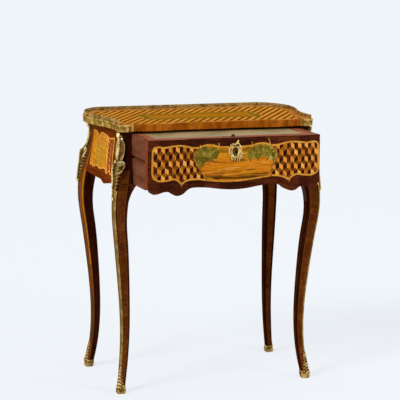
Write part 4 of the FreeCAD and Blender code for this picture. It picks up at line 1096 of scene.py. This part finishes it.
def gallery():
    """A low rail: two fillets with a run of oval rings and knobs between them, brass behind."""
    pairs = gallery_line()
    line = [outer for outer, inner in pairs]
    low, high = TOP_Z + 0.4, TOP_Z + GALLERY_HIGH - 1.2
    rows = []
    for outer, inner in pairs:
        section = ((inner, low), (inner, high), (outer, high), (outer, low))
        rows.append([Vector((*spot, z)) for spot, z in section])
    backing = Relief()
    backing.grid(rows, closed=True)
    backing.build("gallery_plate", "patina", "carcase")
    relief = Relief()
    for height, radius in GALLERY_RAILS:
        relief.tube([Vector((x, y, TOP_Z + height)) for x, y in line], radius, sides=6)
    number, gone = 0, 0.0
    for before, after in zip(line, line[1:]):
        gone += math.dist(before, after)
        if gone <= GALLERY_PITCH / 2 * (number + 1):
            continue
        spot = Vector((*after, TOP_Z + GALLERY_HIGH / 2))
        run = Vector((after[0] - before[0], after[1] - before[1], 0)).normalized()
        if number % 2:
            relief.bead(spot, 1.5, rings=4, sides=6)
            relief.tube([spot - UP * 4, spot + UP * 4], 0.8, sides=5)
        else:
            wide, tall = GALLERY_RING
            ring = [spot + run * wide * math.cos(angle) + UP * tall * math.sin(angle)
                    for angle in angles(12)]
            relief.tube(ring, 0.85, sides=5, closed=True)
            relief.bead(spot, 1.2, rings=4, sides=6)
        number += 1
    relief.build("gallery_rail", "gallery", "carcase", "gallery")


# Places on the escutcheon are given from the keyhole. Its oval sits to the left of it and higher.
OVAL_U, OVAL_V, OVAL_WIDE, OVAL_HIGH = -2.5, 1.5, 10.5, 13.5
OVAL_RINGS = [(0.30, 0.4), (0.45, 0.5), (0.62, 0.8), (0.78, 1.3), (0.92, 2.0), (1.0, 2.4)]
# Rods by their line and their first and last radius; one that grows is thickest at the middle.
SCUTCHEON_RODS = [
    (((-14, 17), (-18.5, 11), (-19.5, 3), (-18, -6), (-13, -11.5)), 1.0, 2.1),
    (((8, 18), (12.5, 14), (13, 7), (10.5, 1), (13, -4)), 0.9, 1.9),
    (((-16, 20.5), (-10, 23), (-4, 20.5), (1, 24), (7, 23), (11, 18)), 1.0, 2.3),
    (((-1, 22), (3, 26), (5, 31), (3.5, 33)), 3.0, 1.6),
    (((-4, 21), (2, 25), (7, 22)), 2.6, 2.2),
    (((-9, 21), (-14, 20.5), (-17, 18)), 2.4, 1.4),
    (((5.5, 13), (7.5, 4), (5, -6)), 1.6, 3.0),
    (((9, 6), (15, 0), (21, -4), (23, -3)), 1.9, 0.7),
    (((8, -9), (13, -9), (18, -13), (16, -16.5)), 1.9, 0.7),
    (((-12, -12), (-13, -17), (-9, -20), (-6, -17)), 1.8, 0.7),
    (((-4, -13), (-3.5, -19), (-5, -24)), 2.0, 0.6),
    (((1, -13), (3.5, -19), (2, -25)), 2.1, 0.6),
    (((5, -12), (9, -18), (8.5, -23.5)), 1.8, 0.6),
]
SCUTCHEON_VOLUTES = [(-12.5, 14, 3.4), (-11, -9, 3.0), (10.5, 15.5, 3.0), (12, -14.5, 3.6), (15, -4.5, 2.8)]
SCUTCHEON_BEADS = [math.radians(120 + 22 * number) for number in range(7)]


def escutcheon():
    """A keyhole mount: a hollow oval plate in a frame of scrolls and leaf sprays."""

    def on_face(u, v, lift):
        return laid("front", "drawer_front", KEY_X + u, KEY_Z + v, lift)

    def oval(angle, wide, high, lift, inner=1.0):
        u, v = wide * inner * math.cos(angle), high * inner * math.sin(angle)
        return on_face(OVAL_U * inner + u, OVAL_V * inner + v, lift)

    hollow = Relief()
    hollow.grid([[oval(angle, OVAL_WIDE, OVAL_HIGH, lift, inner) for angle in angles(36)]
                 for inner, lift in OVAL_RINGS], closed=True, away=Vector((0, -1, 0)))
    hollow.build("escutcheon_plate", "patina", "drawer")
    relief = Relief()
    rim = [oval(angle, OVAL_WIDE + 0.3, OVAL_HIGH + 0.3, 2.6) for angle in angles(40)]
    relief.tube(rim, 1.7, closed=True)
    for line, first, last in SCUTCHEON_RODS:
        path = [on_face(u, v, 2.2) for u, v in curve(line, steps=6)]
        relief.tube(path, bulge(first, last) if last > first else taper(first, last))
    for u, v, wide in SCUTCHEON_VOLUTES:
        def scroll(across, rise, share):
            return on_face(u + across, v + rise, 2.0 + 1.2 * share)

        path = volute(scroll, turns=1.6, first=wide, last=wide * 0.25, steps=28)
        relief.tube(path, taper(1.2, 0.8), sides=7)
    for angle in SCUTCHEON_BEADS:
        relief.bead(oval(angle, OVAL_WIDE + 5.0, OVAL_HIGH + 4.5, 1.2), 1.5)
    relief.build("escutcheon_cast", "gilt", "drawer", "escutcheon")


BAND_LIFT, BAND_LOW, BAND_STEPS = 0.3, 4.0, 80
# Bands by the share of the face's width where they start and end, and their wood.
PLAIN_BANDS = [(0.20, 0.23, "leg_line"), (0.23, 0.80, "leg_centre"), (0.80, 0.83, "leg_line")]
SIDE_BANDS = [(0.05, 0.08, "leg_line"), (0.08, 0.92, "leg_amber"), (0.92, 0.95, "leg_line")]
EDGE_BANDS = [(0.80, 0.82, "leg_line"), (0.82, 0.98, "leg_gold")]
# The inner faces take one darker band, which is painted shade.
PAINTED_SHADE_BANDS = [(0.20, 0.80, "leg_painted_shade")]
BAND_KINDS = ["leg_line", "leg_centre", "leg_gold", "leg_amber", "leg_painted_shade", "leg_fade", "leg_painted_sheen"]
# The golden strip's wood by the height it reaches: darker towards the floor, and above 578 a painted sheen
# in place of a reflection.
GOLD_PARTS = [(200.0, "leg_line"), (300.0, "leg_fade"), (578.0, "leg_gold"), (720.0, "leg_painted_sheen")]


def leg_bands(row, side, axis, outer):
    """The bands on one face of a leg and the height that they reach."""
    if outer:
        # The band across the front and back faces stops at 620; the dark veneer above it is painted shade
        # under the top and drawer.
        return (SIDE_BANDS, 716.0) if axis == 0 else (PLAIN_BANDS, 620.0)
    if axis == 1 and (row, side) == ("back", "left"):
        return EDGE_BANDS, 716.0
    return PAINTED_SHADE_BANDS, 556.0


def leg_faces():
    """Each face of each leg: its leg, its axis, and which way it and the leg's inner corner lie."""
    for row, depth in ROWS.items():
        for side, hand in SIDES.items():
            for axis, outward in ((0, hand), (0, -hand), (1, depth), (1, -depth)):
                outer = outward == (hand, depth)[axis]
                yield row, side, axis, outward, outer, (-depth, -hand)[axis]


def leg_banding():
    """Lighter veneer on the leg faces, edged by fine lines, and a darker band of painted shade on the inner
    faces; the back left leg has a golden strip, topped by a painted sheen.
    """
    points, faces, slots = [], [], []
    for row, side, axis, outward, outer, inward in leg_faces():
        bands, reach = leg_bands(row, side, axis, outer)
        levels = leg_rows(row, side, BAND_LOW, reach, BAND_STEPS)
        flip = ((outward > 0) == (axis == 0)) != (inward > 0)
        for start, end, kind in bands:
            first = len(points)
            for z, low_x, high_x, low_y, high_y in levels:
                spans = ((low_x, high_x), (low_y, high_y))
                face = spans[axis][1] + BAND_LIFT if outward > 0 else spans[axis][0] - BAND_LIFT
                low, high = spans[1 - axis]
                tip, wide = (high, low - high) if inward > 0 else (low, high - low)
                for share in (start, end):
                    place = tip + wide * share
                    points.append((face, place, z) if axis == 0 else (place, face, z))
            for level in range(len(levels) - 1):
                a = first + level * 2
                quad = [a, a + 1, a + 3, a + 2]
                faces.append(quad if flip else quad[::-1])
                shown = kind
                if kind == "leg_gold":
                    shown = next(part for limit, part in GOLD_PARTS if levels[level][0] < limit)
                slots.append(BAND_KINDS.index(shown))
    add_mesh("leg_banding", points, faces, slots, BAND_KINDS, "carcase", "dark_veneer", smooth=True)


# A filet's section: distance from the corner and height. Its side part grows wider towards the knee.
FILET_FORM = [(-15.0, 0.35), (-14.0, 1.0), (-9.0, 1.4), (-4.0, 1.6), (-1.0, 1.6), (0.4, 1.4), (2.0, 1.0),
              (2.7, 0.35)]
FILET_LOW, FILET_LONG, FILET_ROWS = 77.0, 481.0, 80


def corner_filets():
    """Rounded brass strips down the outer corners, between the chutes and the sabots; the back ones are in a
    darker brass, which is painted shade.
    """
    for row, material, wider in (("front", "filet", 0.75), ("back", "filet_painted_shade", 0.0)):
        relief = Relief()
        for side in SIDES:
            arris = Arris(row, side, 74.0, 560.0, 80)
            lines = []
            for step in range(FILET_ROWS):
                z = FILET_LOW + FILET_LONG * step / (FILET_ROWS - 1)
                reach = 1 + wider * fade(z, 330, 540)
                lines.append([arris.at(across * (reach if across < -4 else 1), z, lift)
                              for across, lift in FILET_FORM])
            relief.grid(lines, away=arris.away)
        relief.build("corner_filets_" + row, material, "carcase")


SIDE_TOP = [(-86, 696), (-67, 692.5), (-48, 690.5), (-26, 694.5), (-4, 697.5), (19, 698.5), (38, 694),
            (49, 684), (58, 690), (72, 695), (96, 696.5), (115.5, 695)]
SIDE_LOW = [(115.5, 695), (119, 680), (120.5, 652), (119.5, 636), (115.5, 620), (111, 606), (98, 600),
            (83, 603), (66, 599), (48, 602.5), (27, 606.5), (4, 602), (-21, 605.5), (-45, 607), (-62, 596),
            (-78, 605), (-92, 598), (-103, 602)]
SIDE_FRONT = [(-103, 602), (-97, 610), (-91, 622), (-84, 640), (-81, 659), (-83.5, 679), (-86, 696)]
SIDE_GROUND = ((-130, 590), (130, 590), (130, 710), (-130, 710))
TRELLIS_STEP, TRELLIS_BAR, TRELLIS_RISE = 13.0, 1.5, 110
RIBBON_WIDE = 46.0
TONGUE = [(-16, -12), (0, -7), (8, 3), (16, 14), (0, 8), (-8, -2)]
TONGUE_COUNT, TONGUE_PITCH = 13, 7.2


def trellis_pieces():
    """Two sets of slanting bars and a floret in each mesh, green towards the middle."""
    pieces = []
    for way in (-1, 1):
        for number in range(-12, 26):
            foot = -60 + number * TRELLIS_STEP - way * TRELLIS_RISE / 2
            tip = foot + TRELLIS_BAR + way * TRELLIS_RISE
            bar = [(foot, 590), (foot + TRELLIS_BAR, 590), (tip, 700), (foot + way * TRELLIS_RISE, 700)]
            pieces.append((bar, "side_amber"))
    for column in range(-2, 9):
        for row in range(8):
            y = -45 + column * TRELLIS_STEP + (row % 2) * TRELLIS_STEP / 2
            z = 603 + row * TRELLIS_STEP
            green = math.hypot((y - 12) / 62, (z - 641) / 30) < 1
            petals, heart = ("side_green", "boxwood") if green else ("side_amber", "honey")
            pieces.append((blob(y, z, 4.6, 4.6, lobes=4, turn=row + column, depth=0.2), petals))
            pieces.append((blob(y, z, 1.9, 1.9, lobes=3, turn=column, depth=0.1), heart))
    return pieces


def side_pieces():
    """A golden ground with a lozenge trellis and a slanting ribbon of flame tongues in front."""
    pieces = [(SIDE_GROUND, "honey")] + trellis_pieces()
    front = curve(SIDE_FRONT)
    pieces.append((front + [(y + RIBBON_WIDE, z) for y, z in reversed(front)], "side_amber"))
    edge = [(z, y) for y, z in SIDE_FRONT]
    for shift, kind in ((13.0, "side_string"), (0.0, "flame")):
        for number in range(TONGUE_COUNT):
            z = SIDE_FRONT[0][1] + 4 + TONGUE_PITCH * number
            y = table(edge, z) + (10 if number % 2 else 31) + shift
            pieces.append((curve([(y + u, z + v) for u, v in TONGUE], closed=True, steps=4), kind))
    return pieces


def side_marquetry(side):
    """A shaped golden cartouche with light stringing on the dark panel."""
    outline = curve(SIDE_TOP) + curve(SIDE_LOW)[1:] + curve(SIDE_FRONT)[1:-1]
    shape = anticlockwise([(y + TABLE_Y, z) for y, z in outline])
    field = Veneer("side_field_" + side, side, "side_panel_" + side, "carcase", "side_marquetry")
    field.arrange(shape, [([(y + TABLE_Y, z) for y, z in drawn], kind) for drawn, kind in side_pieces()])
    field.ribbon(shape, 3.0, "side_string", 1, closed=True)
    field.lay(lift=0.25, bends="uv")


PALE = linear((244, 248, 252))
FLOOR_REACH = 60.0
FLOOR_GLOW = 0.72
SKY_LIGHT, SKY_SEEN = 0.62, 1.0


def floor():
    """A pale floor that glows a little where it is seen and keeps a soft shadow."""
    mesh = bpy.data.meshes.new("floor")
    corners = [(x * FLOOR_REACH, y * FLOOR_REACH, 0) for x, y in ((-1, -1), (1, -1), (1, 1), (-1, 1))]
    mesh.from_pydata(corners, [], [(0, 1, 2, 3)])
    placed("floor", mesh)
    graph = new_material("floor")
    graph.feed(graph.shader, Base_Color=PALE, Roughness=0.9, Specular_IOR_Level=0.0)
    glow = graph.add("ShaderNodeEmission", Color=PALE, Strength=1.0)
    mix = graph.add("ShaderNodeMixShader", Fac=graph.math("MULTIPLY", graph.seen(), FLOOR_GLOW))
    graph.put(mix.inputs[1], graph.shader.outputs[0])
    graph.put(mix.inputs[2], glow.outputs[0])
    graph.put(graph.tree.nodes["Material Output"].inputs["Surface"], mix.outputs[0])
    mesh.materials.append(MAT["floor"])


def sky():
    """An even pale sky, dimmer as a light than as a background."""
    world = bpy.data.worlds.new("studio")
    bpy.context.scene.world = world
    graph = Graph(world, "Background")
    level = graph.add("ShaderNodeMapRange", Value=graph.seen(), To_Min=SKY_LIGHT, To_Max=SKY_SEEN)
    graph.feed(graph.shader, Color=PALE, Strength=level.outputs[0])


# Places in metres.
LAMPS = [("key", "SUN", (-3.6, -1.9, 3.4), {"energy": 1.6, "angle": math.radians(20)}),
         ("side", "AREA", (2.2, -2.8, 1.8), {"energy": 32.0, "shape": "DISK", "size": 1.2})]
LAMP_TARGET = Vector((0, 0, 0.5))


def lamps():
    """A broad sun from the left front and a soft disk from the right, aimed at the table."""
    for name, kind, spot, settings in LAMPS:
        data = bpy.data.lights.new(name, kind)
        for key, value in settings.items():
            setattr(data, key, value)
        item = placed(name, data)
        item.location = spot
        item.rotation_euler = (LAMP_TARGET - Vector(spot)).to_track_quat("-Z", "Y").to_euler()


CAMERA_TURN = math.radians(-19.047)
CAMERA_FAR, CAMERA_HIGH = 4807.0, 1311.6
CAMERA_YAW, CAMERA_DIP, CAMERA_ROLL = (math.radians(value) for value in (-0.10, 9.596, 0.507))
CAMERA_FOCUS, PICTURE_WIDE, SENSOR_WIDE = 1717.1, 400, 36.0


def camera():
    """The photograph's view: 400 by 400, from the left front, slightly above."""
    bearing = CAMERA_TURN + CAMERA_YAW
    level = math.cos(CAMERA_DIP)
    ahead = Vector((-math.sin(bearing) * level, math.cos(bearing) * level, -math.sin(CAMERA_DIP)))
    flat = Vector((math.cos(bearing), math.sin(bearing), 0))
    upright = flat.cross(ahead)
    right = flat * math.cos(CAMERA_ROLL) + upright * math.sin(CAMERA_ROLL)
    up = upright * math.cos(CAMERA_ROLL) - flat * math.sin(CAMERA_ROLL)
    data = bpy.data.cameras.new("photo_view")
    data.sensor_width = SENSOR_WIDE
    data.lens = CAMERA_FOCUS / PICTURE_WIDE * SENSOR_WIDE
    item = placed("photo_view", data)
    x, y = math.sin(CAMERA_TURN) * CAMERA_FAR, TABLE_Y - math.cos(CAMERA_TURN) * CAMERA_FAR
    turned = Matrix((right, up, -ahead)).transposed().to_4x4()
    item.matrix_world = Matrix.Translation(Vector((x, y, CAMERA_HIGH)) * MM) @ turned
    bpy.context.scene.camera = item


materials()
finish_nodes()
drawer_marquetry()
drawer_edges()
top_parquetry()
leg_banding()
chutes()
corner_filets()
sabots()
gallery()
escutcheon()
for panel_side in SIDES:
    side_marquetry(panel_side)
floor()
sky()
lamps()
camera()
bpy.context.scene.view_settings.view_transform = "Standard"
